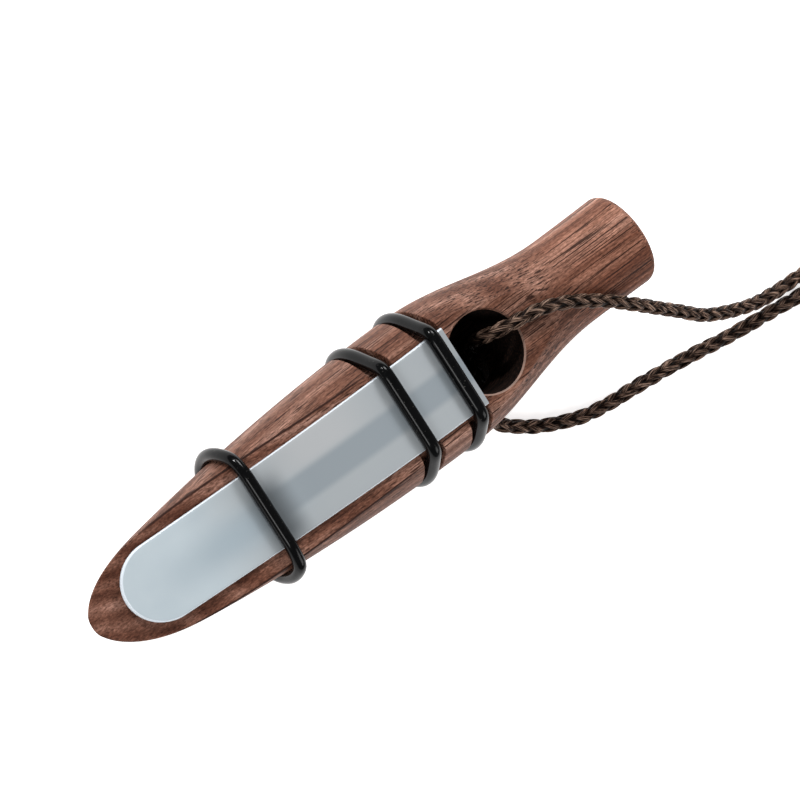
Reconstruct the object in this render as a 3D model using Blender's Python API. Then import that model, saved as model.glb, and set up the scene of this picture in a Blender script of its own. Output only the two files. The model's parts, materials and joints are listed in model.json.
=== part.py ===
"""Wooden open-reed deer call on a braided lanyard, lying on a table with its reed upwards.

The call's axis runs along X, from the rounded tip to the barrel's end, with the reed bed upwards. The origin is under
the middle of the call, on the table. Lengths are in metres.
"""
import math

import bmesh
import bpy
import numpy as np
from mathutils import Matrix, Vector

for old_object in list(bpy.data.objects):
    bpy.data.objects.remove(old_object, do_unlink=True)

MM = 0.001

# Clearances between pieces that touch on the real call
SEAT_GAP = 0.25 * MM
CORD_GAP = 0.30 * MM

# Body outline: a belly between the rounded tip and the narrower barrel. Stations are measured from the tip
BODY_LENGTH = 115.4 * MM
BELLY_RADIUS = 12.69 * MM
BELLY_STATION = 69.0 * MM
BELLY_CURVE_RADIUS = 400.0 * MM
NOSE_LENGTH = 15.0 * MM
NOSE_DROP = 2.5 * MM
NOSE_POWER = 2.5
LIP_RADIUS = 0.6 * MM
COVE_START = 71.3 * MM
COVE_LENGTH = 30.6 * MM
NECK_RADIUS = 8.24 * MM
BARREL_END_RADIUS = 8.38 * MM
BARREL_EDGE_RADIUS = 1.6 * MM

# Reed bed: an arc that falls towards the tip, and a flat that runs out over the neck
BED_CREST_STATION = 67.3 * MM
BED_CREST_HEIGHT = 9.06 * MM
BED_CURVE_RADIUS = 170.0 * MM
FLAT_SLOPE = 0.03
FLAT_END_STATION = 88.0 * MM
RUN_OUT_RADIUS = 28.0 * MM

# Air channel and sound hole
CHANNEL_FRONT_STATION = 21.7 * MM
CHANNEL_WIDTH = 4.8 * MM
CHANNEL_DEPTH = 2.6 * MM
SOUND_HOLE_STATION = 79.45 * MM
SOUND_HOLE_DIAMETER = 14.0 * MM
SOUND_HOLE_DEPTH = 12.7 * MM

# Reed
REED_REAR_STATION = 74.5 * MM
REED_TIP_STATION = 6.0 * MM
REED_REAR_WIDTH = 14.9 * MM
REED_TIP_WIDTH = 13.55 * MM
REED_THICKNESS = 0.7 * MM
REED_TIP_LIFT = 1.2 * MM
REED_SIDE_OFFSET = 0.45 * MM

# Rubber rings
TUNING_RING_STATION = 32.15 * MM
TUNING_RING_SECTION = 2.3 * MM
MIDDLE_RING_STATION = 60.95 * MM
REAR_RING_STATION = 71.4 * MM
CLAMP_RING_SECTION = 2.5 * MM
GROOVE_RADIUS = 10.9 * MM

# Lanyard
CORD_DIAMETER = 2.3 * MM
CORD_HOLE_DIAMETER = 4.4 * MM
STRAND_SPACING = 2.9 * MM
KNOT_LENGTH = 8.0 * MM
KNOT_RADIUS = 3.7 * MM
KNOT_WRAPS = 3
KNOT_WRAP_DEPTH = 0.45 * MM
COIL_DISTANCE = 27.0 * MM
COIL_INNER_RADIUS = 6.3 * MM
COIL_PITCH = 2.8 * MM
COIL_WHOLE_TURNS = 9
TIE_WIDTH = 4.0 * MM
TIE_THICKNESS = 0.8 * MM

# Fineness of the meshes
BODY_SEGMENTS = 48
HOLE_SEGMENTS = 40
RING_NORMALS = 60
KNOT_SEGMENTS = 24
POINTS_PER_LOOP = 24
ROUTE_STEPS = 24
STRAND_POINT_SPACING = 1.3 * CORD_DIAMETER

# The call lies on its rings, so its axis is as high as the clamp rings reach out
AXIS_HEIGHT = GROOVE_RADIUS + SEAT_GAP + CLAMP_RING_SECTION
TIP_X = -BODY_LENGTH / 2
SOUND_HOLE_RADIUS = SOUND_HOLE_DIAMETER / 2
CORD_RADIUS = CORD_DIAMETER / 2


def world(station, y, height):
    """Point in the part's frame from a station behind the tip and a height over the call's axis."""
    return Vector((TIP_X + station, y, AXIS_HEIGHT + height))


def body_radius(station):
    """Turned outline: an arc to the belly, less the rounded nose, then a cove to the neck and a slight flare."""
    if station <= COVE_START:
        ahead = max(0.0, BELLY_STATION - station)
        radius = BELLY_RADIUS - ahead**2 / (2 * BELLY_CURVE_RADIUS)
        if station < NOSE_LENGTH:
            radius -= NOSE_DROP * (1 - station / NOSE_LENGTH) ** NOSE_POWER
        if station < LIP_RADIUS:
            radius -= LIP_RADIUS - math.sqrt(LIP_RADIUS**2 - (LIP_RADIUS - station) ** 2)
        return radius
    if station <= COVE_START + COVE_LENGTH:
        share = (station - COVE_START) / COVE_LENGTH
        return NECK_RADIUS + (BELLY_RADIUS - NECK_RADIUS) * (0.5 + 0.5 * math.cos(math.pi * share))
    along = (station - COVE_START - COVE_LENGTH) / (BODY_LENGTH - COVE_START - COVE_LENGTH)
    return NECK_RADIUS + (BARREL_END_RADIUS - NECK_RADIUS) * along**2


def bed_height(station):
    """Height of the reed bed over the axis: an arc before the crest, a slight slope behind it."""
    if station <= BED_CREST_STATION:
        return BED_CREST_HEIGHT - (BED_CREST_STATION - station) ** 2 / (2 * BED_CURVE_RADIUS)
    return BED_CREST_HEIGHT - FLAT_SLOPE * (station - BED_CREST_STATION)


def reed_underside(station):
    """Height of the reed's underside: on the bed up to the tuning ring, then lifting clear of it to the tip."""
    lift = 0.0
    if station < TUNING_RING_STATION:
        share = (TUNING_RING_STATION - station) / (TUNING_RING_STATION - REED_TIP_STATION)
        lift = REED_TIP_LIFT * share**2
    return bed_height(station) + SEAT_GAP + lift


def reed_half_width(station):
    """Half of the reed's width: a straight taper that ends in a half-round tip."""
    share = (station - REED_TIP_STATION) / (REED_REAR_STATION - REED_TIP_STATION)
    half = (REED_TIP_WIDTH + (REED_REAR_WIDTH - REED_TIP_WIDTH) * share) / 2
    tip_radius = REED_TIP_WIDTH / 2
    from_tip = station - REED_TIP_STATION
    if from_tip < tip_radius:
        half *= math.sqrt(max(0.0, 1 - (1 - from_tip / tip_radius) ** 2))
    return half


def make_material(name, colour, roughness, alpha=1.0):
    """Principled material of one colour."""
    material = bpy.data.materials.new(name)
    material.use_nodes = True
    shader = material.node_tree.nodes["Principled BSDF"]
    shader.inputs["Base Color"].default_value = (*colour, 1.0)
    shader.inputs["Roughness"].default_value = roughness
    shader.inputs["Metallic"].default_value = 0.0
    shader.inputs["Alpha"].default_value = alpha
    return material


WALNUT = make_material("walnut", (0.19, 0.11, 0.075), 0.55)
MILKY_PLASTIC = make_material("milky_plastic", (0.62, 0.68, 0.72), 0.30, 0.6)
BLACK_RUBBER = make_material("black_rubber", (0.012, 0.012, 0.013), 0.42)
BRAIDED_CORD = make_material("braided_cord", (0.035, 0.024, 0.019), 0.75)
TIE_WRAP = make_material("tie_wrap", (0.03, 0.03, 0.03), 0.6)


def add_object(name, data, material=None):
    """Links an object for a mesh or a curve and gives it its material."""
    thing = bpy.data.objects.new(name, data)
    bpy.context.collection.objects.link(thing)
    if material:
        data.materials.append(material)
    return thing


def mesh_object(name, bm, material=None, smooth=False):
    """Turns a bmesh into a named object with its faces outwards."""
    bmesh.ops.recalc_face_normals(bm, faces=bm.faces)
    for face in bm.faces:
        face.smooth = smooth
    mesh = bpy.data.meshes.new(name)
    bm.to_mesh(mesh)
    bm.free()
    return add_object(name, mesh, material)


def lathe(name, outline, centre, segments, material):
    """Spins an outline of (along X, radius) points, open at its ends, round a line along X and caps both ends."""
    bm = bmesh.new()
    points = [bm.verts.new((centre.x + along, centre.y, centre.z + radius)) for along, radius in outline]
    edges = [bm.edges.new(pair) for pair in zip(points, points[1:])]
    bmesh.ops.spin(
        bm, geom=points + edges, cent=centre, axis=(1, 0, 0), dvec=(0, 0, 0), angle=2 * math.pi, steps=segments
    )
    bmesh.ops.remove_doubles(bm, verts=bm.verts, dist=1e-7)
    bmesh.ops.holes_fill(bm, edges=[edge for edge in bm.edges if edge.is_boundary], sides=0)
    return mesh_object(name, bm, material, smooth=True)


def prism(name, outline, y_low, y_high):
    """Cutter: an outline of (x, z) points pushed out from y_low to y_high."""
    bm = bmesh.new()
    face = bm.faces.new([bm.verts.new((x, y_low, z)) for x, z in outline])
    pushed = bmesh.ops.extrude_face_region(bm, geom=[face])["geom"]
    moved = [item for item in pushed if isinstance(item, bmesh.types.BMVert)]
    bmesh.ops.translate(bm, verts=moved, vec=(0, y_high - y_low, 0))
    return mesh_object(name, bm)


def rod(name, start, end, radius):
    """Cutter: a round rod between two points."""
    bm = bmesh.new()
    direction = end - start
    turn = Vector((0, 0, 1)).rotation_difference(direction).to_matrix().to_4x4()
    bmesh.ops.create_cone(
        bm,
        cap_ends=True,
        segments=HOLE_SEGMENTS,
        radius1=radius,
        radius2=radius,
        depth=direction.length,
        matrix=Matrix.Translation((start + end) / 2) @ turn,
    )
    return mesh_object(name, bm)


def strip(name, stations, half_width, underside, top, side_offset, material=None):
    """Closed strip along X: one rectangle at each station, skinned from end to end."""
    bm = bmesh.new()
    rows = []
    for station in stations:
        half = half_width(station)
        corners = [
            (side_offset - half, underside(station)),
            (side_offset + half, underside(station)),
            (side_offset + half, top(station)),
            (side_offset - half, top(station)),
        ]
        rows.append([bm.verts.new(world(station, y, z)) for y, z in corners])
    for near, far in zip(rows, rows[1:]):
        for i in range(4):
            bm.faces.new((near[i], near[(i + 1) % 4], far[(i + 1) % 4], far[i]))
    bm.faces.new(rows[0])
    bm.faces.new(rows[-1])
    return mesh_object(name, bm, material)


def cut(target, cutter):
    """Takes the cutter out of the target and hides the cutter."""
    boolean = target.modifiers.new(cutter.name, "BOOLEAN")
    boolean.operation = "DIFFERENCE"
    boolean.object = cutter
    boolean.solver = "EXACT"
    cutter.hide_render = True
    cutter.display_type = "WIRE"


def tube(name, points, diameter, resolution, material, closed=False):
    """Round tube along a line of points."""
    curve = bpy.data.curves.new(name, "CURVE")
    curve.dimensions = "3D"
    curve.bevel_depth = diameter / 2
    curve.bevel_resolution = resolution
    curve.use_fill_caps = not closed
    spline = curve.splines.new("POLY")
    spline.points.add(len(points) - 1)
    for place, point in zip(spline.points, points):
        place.co = (*point, 1.0)
    spline.use_cyclic_u = closed
    spline.use_smooth = True
    return add_object(name, curve, material)


def smooth_route(route, spacing):
    """Even points on a smooth curve through the route's points."""
    knots = [Vector(point) for point in route]
    knots = [2 * knots[0] - knots[1]] + knots + [2 * knots[-1] - knots[-2]]
    fine = []
    for before, start, end, after in zip(knots, knots[1:], knots[2:], knots[3:]):
        for step in range(ROUTE_STEPS):
            t = step / ROUTE_STEPS
            fine.append(
                0.5
                * (
                    2 * start
                    + (end - before) * t
                    + (2 * before - 5 * start + 4 * end - after) * t**2
                    + (3 * start - before - 3 * end + after) * t**3
                )
            )
    fine.append(knots[-2])
    lengths = np.cumsum([0.0] + [(b - a).length for a, b in zip(fine, fine[1:])])
    count = max(2, round(lengths[-1] / spacing) + 1)
    at = np.linspace(0.0, lengths[-1], count)
    table = np.array(fine)
    return np.stack([np.interp(at, lengths, table[:, axis]) for axis in range(3)], axis=1)


def body_outline():
    """Turned outline of the body with its two ring grooves and its rounded rear edge."""
    groove_half = CLAMP_RING_SECTION / 2 + SEAT_GAP
    grooves = [(ring - groove_half, ring + groove_half) for ring in (MIDDLE_RING_STATION, REAR_RING_STATION)]
    stations = [LIP_RADIUS * share for share in (0.0, 0.15, 0.4, 1.0)]
    stations += list(np.linspace(LIP_RADIUS, NOSE_LENGTH, 8)[1:])
    stations += list(np.linspace(NOSE_LENGTH, grooves[0][0], 9)[1:])
    outline = [(station, body_radius(station)) for station in stations]
    outline += [(grooves[0][0], GROOVE_RADIUS), (grooves[0][1], GROOVE_RADIUS)]
    land = np.linspace(grooves[0][1], grooves[1][0], 4)
    outline += [(station, body_radius(station)) for station in land]
    outline += [(grooves[1][0], GROOVE_RADIUS), (grooves[1][1], GROOVE_RADIUS)]
    edge_start = BODY_LENGTH - BARREL_EDGE_RADIUS
    rear = list(np.linspace(grooves[1][1], COVE_START + COVE_LENGTH, 14))
    rear += list(np.linspace(COVE_START + COVE_LENGTH, edge_start, 4)[1:])
    outline += [(station, body_radius(station)) for station in rear]
    edge_centre = body_radius(edge_start) - BARREL_EDGE_RADIUS
    for angle in np.linspace(0, math.pi / 2, 6)[1:]:
        outline.append(
            (
                edge_start + BARREL_EDGE_RADIUS * math.sin(angle),
                edge_centre + BARREL_EDGE_RADIUS * math.cos(angle),
            )
        )
    return outline


def make_body():
    """Walnut body: turned, then cut for the reed bed, the air channel, the sound hole and the cord hole."""
    body = lathe("body", body_outline(), world(0, 0, 0), BODY_SEGMENTS, WALNUT)

    # The bed's cutter reaches past the body on every side but below
    over = 2 * BELLY_RADIUS
    ahead = -LIP_RADIUS - SEAT_GAP
    bed = [world(station, 0, bed_height(station)) for station in np.linspace(ahead, BED_CREST_STATION, 26)]
    bed.append(world(FLAT_END_STATION, 0, bed_height(FLAT_END_STATION)))
    for angle in np.linspace(0, math.pi / 3, 9)[1:]:
        station = FLAT_END_STATION + RUN_OUT_RADIUS * math.sin(angle)
        height = bed_height(FLAT_END_STATION) + RUN_OUT_RADIUS * (1 - math.cos(angle))
        bed.append(world(station, 0, height))
    top = AXIS_HEIGHT + bed_height(FLAT_END_STATION) + over
    outline = [(point.x, point.z) for point in bed] + [(bed[-1].x, top), (bed[0].x, top)]
    cut(body, prism("bed_cutter", outline, -over, over))

    def channel_half(station):
        from_front = (station - CHANNEL_FRONT_STATION) / (CHANNEL_WIDTH / 2)
        return CHANNEL_WIDTH / 2 * math.sqrt(max(0.01, 1 - max(0.0, 1 - from_front) ** 2))

    def channel_floor(station):
        share = min(1.0, (station - CHANNEL_FRONT_STATION) / CHANNEL_WIDTH)
        return bed_height(station) - CHANNEL_DEPTH * max(0.12, math.sin(share * math.pi / 2))

    front = [CHANNEL_FRONT_STATION + CHANNEL_WIDTH * share for share in (0.0, 0.05, 0.15, 0.3, 0.5, 0.75, 1.0)]
    stations = front + list(np.linspace(front[-1], SOUND_HOLE_STATION, 9)[1:])
    cut(body, strip("channel_cutter", stations, channel_half, channel_floor, lambda s: bed_height(s) + over, 0.0))

    hole_floor = bed_height(SOUND_HOLE_STATION) - SOUND_HOLE_DEPTH
    low = world(SOUND_HOLE_STATION, 0, hole_floor)
    cut(body, rod("sound_hole_cutter", low, low + Vector((0, 0, over)), SOUND_HOLE_RADIUS))

    # The cord hole runs along the line that the lanyard takes out of the sound hole
    inner = Vector(CORD_HOLE_INNER)
    outward = (Vector(CORD_HOLE_OUTER) - inner).normalized()
    cut(body, rod("cord_hole_cutter", inner, inner + outward * over, CORD_HOLE_DIAMETER / 2))
    return body


def make_reed():
    """Milky plastic strip that follows the bed."""
    tip_radius = REED_TIP_WIDTH / 2
    tip = [REED_TIP_STATION + tip_radius * (1 - math.cos(angle)) for angle in np.linspace(0.14, math.pi / 2, 9)]
    stations = tip + list(np.linspace(tip[-1], REED_REAR_STATION, 22)[1:])
    return strip(
        "reed",
        stations,
        reed_half_width,
        reed_underside,
        lambda station: reed_underside(station) + REED_THICKNESS,
        REED_SIDE_OFFSET,
        MILKY_PLASTIC,
    )


def make_ring(name, station, section, seat_radius):
    """Rubber ring stretched round the body and over the reed.

    For each outward direction the ring's middle line lies half a section and a gap beyond the furthest point of what
    the ring holds: the round seat below the bed and the reed's two upper corners.
    """
    bed = bed_height(station)
    reed_top = reed_underside(station) + REED_THICKNESS
    half = reed_half_width(station + section / 2)
    shoulder = math.sqrt(max(0.0, seat_radius**2 - bed**2))
    points = []
    for normal in np.linspace(0, 2 * math.pi, RING_NORMALS, endpoint=False) + math.pi / RING_NORMALS:
        out = Vector((0, math.cos(normal), math.sin(normal)))
        side = 1 if out.y > 0 else -1
        seat = Vector((0, seat_radius * out.y, seat_radius * out.z))
        if seat.z > bed:
            seat = Vector((0, side * shoulder, bed))
        corner = Vector((0, REED_SIDE_OFFSET + side * half, reed_top))
        held = max((seat, corner), key=lambda point: point.dot(out))
        middle = held + out * (SEAT_GAP + section / 2)
        points.append(world(station, middle.y, middle.z))
    return tube(name, points, section, 2, BLACK_RUBBER, closed=True)


def make_knot(centre):
    """Wrapped knot that joins both strands and the neck loop, with flat ends."""
    outline = []
    for share in np.linspace(0, 1, 6 * KNOT_WRAPS + 1):
        bulge = abs(math.sin(math.pi * KNOT_WRAPS * share))
        outline.append((KNOT_LENGTH * (share - 0.5), KNOT_RADIUS - KNOT_WRAP_DEPTH * (1 - bulge)))
    return lathe("lanyard_knot", outline, centre, KNOT_SEGMENTS, BRAIDED_CORD)


def bridge(start, start_way, end, end_way, spacing):
    """Points between two others on a curve that leaves along start_way and arrives along end_way."""
    reach = (end - start).length
    count = max(2, round(reach / spacing))
    points = []
    for step in range(1, count):
        t = step / count
        points.append(
            start * (2 * t**3 - 3 * t**2 + 1)
            + start_way * reach * (t**3 - 2 * t**2 + t)
            + end * (3 * t**2 - 2 * t**3)
            + end_way * reach * (t**3 - t**2)
        )
    return points


def coil_turns_per_layer():
    """Turns of one layer, so that both ends of the coil leave on the tangents that meet at the knot."""
    turns = COIL_WHOLE_TURNS / 2
    for _ in range(30):
        outer = COIL_INNER_RADIUS + COIL_PITCH * turns
        turns = (COIL_WHOLE_TURNS + 0.5 - math.acos(outer / COIL_DISTANCE) / math.pi) / 2
    return turns


def coil_points(centre, knot_face):
    """Points of the wound neck loop, from the knot round two layers and back to the knot.

    The turns run inwards on the lower layer, climb in the half turn where the spiral reverses, and run outwards on the
    upper layer. Both ends leave the outermost turns on tangents and meet the knot's face squarely.
    """
    per_layer = coil_turns_per_layer()
    reversal = per_layer + 0.25
    start_angle = math.pi - math.acos((COIL_INNER_RADIUS + COIL_PITCH * per_layer) / COIL_DISTANCE)
    low = TIE_THICKNESS + SEAT_GAP + CORD_RADIUS
    turns = []
    for turn in np.linspace(0, 2 * reversal, round(2 * reversal * POINTS_PER_LOOP) + 1):
        angle = start_angle - 2 * math.pi * turn
        radius = COIL_INNER_RADIUS + COIL_PITCH * (abs(turn - reversal) - 0.25)
        climb = min(1.0, max(0.0, (turn - per_layer) / 0.5))
        rise = COIL_PITCH * climb**2 * (3 - 2 * climb)
        turns.append(Vector((centre.x + radius * math.cos(angle), centre.y + radius * math.sin(angle), low + rise)))
    leads = []
    for side, end, inside in ((1, turns[0], turns[1]), (-1, turns[-1], turns[-2])):
        face = knot_face + Vector((CORD_GAP, side * STRAND_SPACING / 2, 0))
        square = face + Vector((CORD_DIAMETER, 0, 0))
        way = (inside - end).normalized()
        leads.append([face, square] + bridge(square, Vector((1, 0, 0)), end, way, 2 * CORD_DIAMETER))
    return leads[0] + turns + leads[1][::-1]


def least_gap(points, diameter):
    """Smallest clear distance between stretches of one tube that lie further apart along it than a bend."""
    table = np.array(points)
    along = np.cumsum([0.0] + list(np.linalg.norm(np.diff(table, axis=0), axis=1)))
    fine_along = np.arange(0.0, along[-1], diameter / 4)
    fine = np.stack([np.interp(fine_along, along, table[:, axis]) for axis in range(3)], axis=1)
    apart = np.linalg.norm(fine[:, None] - fine[None], axis=2)
    apart[np.abs(fine_along[:, None] - fine_along[None]) < 4 * diameter] = np.inf
    return apart.min() - diameter


def make_tie(centre, turns):
    """Band round all the coil's turns, at the side away from the knot, as close as the turns there allow."""
    under_band = [p for p in turns if p.x > centre.x and abs(p.y - centre.y) < TIE_WIDTH / 2 + CORD_DIAMETER]
    reach = CORD_RADIUS + CORD_GAP
    x_near = min(math.hypot(p.x - centre.x, p.y - centre.y) for p in under_band) + centre.x - reach
    x_near -= TIE_WIDTH**2 / (8 * COIL_INNER_RADIUS)
    x_far = max(math.hypot(p.x - centre.x, p.y - centre.y) for p in under_band) + centre.x + reach
    z_low = TIE_THICKNESS
    z_high = max(p.z for p in under_band) + reach
    bm = bmesh.new()
    loops = []
    for y in (centre.y - TIE_WIDTH / 2, centre.y + TIE_WIDTH / 2):
        for grow in (0.0, TIE_THICKNESS):
            corners = [
                (x_near - grow, z_low - grow),
                (x_far + grow, z_low - grow),
                (x_far + grow, z_high + grow),
                (x_near - grow, z_high + grow),
            ]
            loops.append([bm.verts.new((x, y, z)) for x, z in corners])
    near_in, near_out, far_in, far_out = loops
    for first, second in ((near_in, near_out), (near_out, far_out), (far_out, far_in), (far_in, near_in)):
        for i in range(4):
            j = (i + 1) % 4
            bm.faces.new((first[i], first[j], second[j], second[i]))
    return mesh_object("coil_tie", bm, TIE_WRAP)


# Route of the lanyard in the part's frame. The upper strand starts in the sound hole, leaves it over its rear rim, lies
# over the neck and slopes down to the table. The lower strand leaves the cord hole under the body and lies on the table
CORD_HOLE_INNER = (23.8 * MM, 1.0 * MM, 12.2 * MM)
CORD_HOLE_OUTER = (23.9 * MM, -9.4 * MM, 5.6 * MM)
KNOT_FRONT = (93.0 * MM, -27.45 * MM, 2.7 * MM)
STRAND_END = KNOT_FRONT[0] - CORD_GAP
UPPER_SIDE = KNOT_FRONT[1] + STRAND_SPACING / 2
LOWER_SIDE = KNOT_FRONT[1] - STRAND_SPACING / 2

UPPER_ROUTE = [
    (23.83 * MM, -1.30 * MM, 10.75 * MM),
    (23.82 * MM, -0.50 * MM, 11.30 * MM),
    (23.80 * MM, 0.75 * MM, 12.70 * MM),
    (23.80 * MM, 1.45 * MM, 15.10 * MM),
    (23.85 * MM, 1.70 * MM, 18.60 * MM),
    (25.30 * MM, 1.70 * MM, 22.15 * MM),
    (28.80 * MM, 1.35 * MM, 23.65 * MM),
    (32.80 * MM, 0.70 * MM, 23.75 * MM),
    (35.80 * MM, -0.20 * MM, 24.00 * MM),
    (38.90 * MM, -1.60 * MM, 23.65 * MM),
    (42.02 * MM, -3.48 * MM, 22.95 * MM),
    (45.25 * MM, -5.59 * MM, 21.80 * MM),
    (48.52 * MM, -8.00 * MM, 20.20 * MM),
    (51.87 * MM, -10.55 * MM, 18.30 * MM),
    (55.26 * MM, -13.18 * MM, 16.25 * MM),
    (58.73 * MM, -15.81 * MM, 14.10 * MM),
    (62.08 * MM, -18.58 * MM, 11.95 * MM),
    (65.92 * MM, -20.79 * MM, 9.80 * MM),
    (69.96 * MM, -22.56 * MM, 7.75 * MM),
    (74.05 * MM, -24.02 * MM, 5.85 * MM),
    (78.12 * MM, -24.92 * MM, 4.20 * MM),
    (82.10 * MM, -25.50 * MM, 2.90 * MM),
    (85.92 * MM, -25.82 * MM, 2.05 * MM),
    (STRAND_END - CORD_DIAMETER, UPPER_SIDE, KNOT_FRONT[2]),
    (STRAND_END, UPPER_SIDE, KNOT_FRONT[2]),
]
LOWER_ROUTE = [
    (23.83 * MM, -1.65 * MM, 10.53 * MM),
    (23.87 * MM, -5.50 * MM, 8.09 * MM),
    (23.90 * MM, -9.40 * MM, 5.60 * MM),
    (24.50 * MM, -14.00 * MM, 2.95 * MM),
    (26.90 * MM, -16.55 * MM, 1.65 * MM),
    (30.95 * MM, -19.40 * MM, 1.20 * MM),
    (35.00 * MM, -21.30 * MM, 1.20 * MM),
    (39.30 * MM, -22.90 * MM, 1.20 * MM),
    (44.20 * MM, -23.75 * MM, 1.20 * MM),
    (49.40 * MM, -24.20 * MM, 1.20 * MM),
    (59.55 * MM, -25.35 * MM, 1.20 * MM),
    (69.40 * MM, -26.95 * MM, 1.20 * MM),
    (79.80 * MM, -28.20 * MM, 1.20 * MM),
    (84.90 * MM, -28.80 * MM, 1.30 * MM),
    (STRAND_END - CORD_DIAMETER, LOWER_SIDE, KNOT_FRONT[2]),
    (STRAND_END, LOWER_SIDE, KNOT_FRONT[2]),
]

make_body()
make_reed()
make_ring(
    "tuning_ring",
    TUNING_RING_STATION,
    TUNING_RING_SECTION,
    body_radius(TUNING_RING_STATION + TUNING_RING_SECTION / 2),
)
make_ring("middle_clamp_ring", MIDDLE_RING_STATION, CLAMP_RING_SECTION, GROOVE_RADIUS)
make_ring("rear_clamp_ring", REAR_RING_STATION, CLAMP_RING_SECTION, GROOVE_RADIUS)

tube("lanyard_upper_strand", smooth_route(UPPER_ROUTE, STRAND_POINT_SPACING), CORD_DIAMETER, 2, BRAIDED_CORD)
tube("lanyard_lower_strand", smooth_route(LOWER_ROUTE, STRAND_POINT_SPACING), CORD_DIAMETER, 2, BRAIDED_CORD)
make_knot(Vector((KNOT_FRONT[0] + KNOT_LENGTH / 2, KNOT_FRONT[1], KNOT_RADIUS)))
knot_rear = Vector((KNOT_FRONT[0] + KNOT_LENGTH, KNOT_FRONT[1], KNOT_FRONT[2]))
coil_centre = knot_rear + Vector((COIL_DISTANCE, 0, 0))
coil = coil_points(coil_centre, knot_rear)
tube("lanyard_coil", coil, CORD_DIAMETER, 1, BRAIDED_CORD)
make_tie(coil_centre, coil)

coil_length = sum((Vector(b) - Vector(a)).length for a, b in zip(coil, coil[1:]))
print(f"lanyard_coil: least gap to itself {least_gap(coil, CORD_DIAMETER) / MM:.2f} mm, length {coil_length:.3f} m")
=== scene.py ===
"""Wooden open-reed deer call on its braided lanyard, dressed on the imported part.

The call lies on a table with its reed upwards. X runs from the rounded tip to the barrel, Z is up, and lengths are in
metres. A station is a distance behind the tip along the call's axis.
"""
import json

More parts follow.
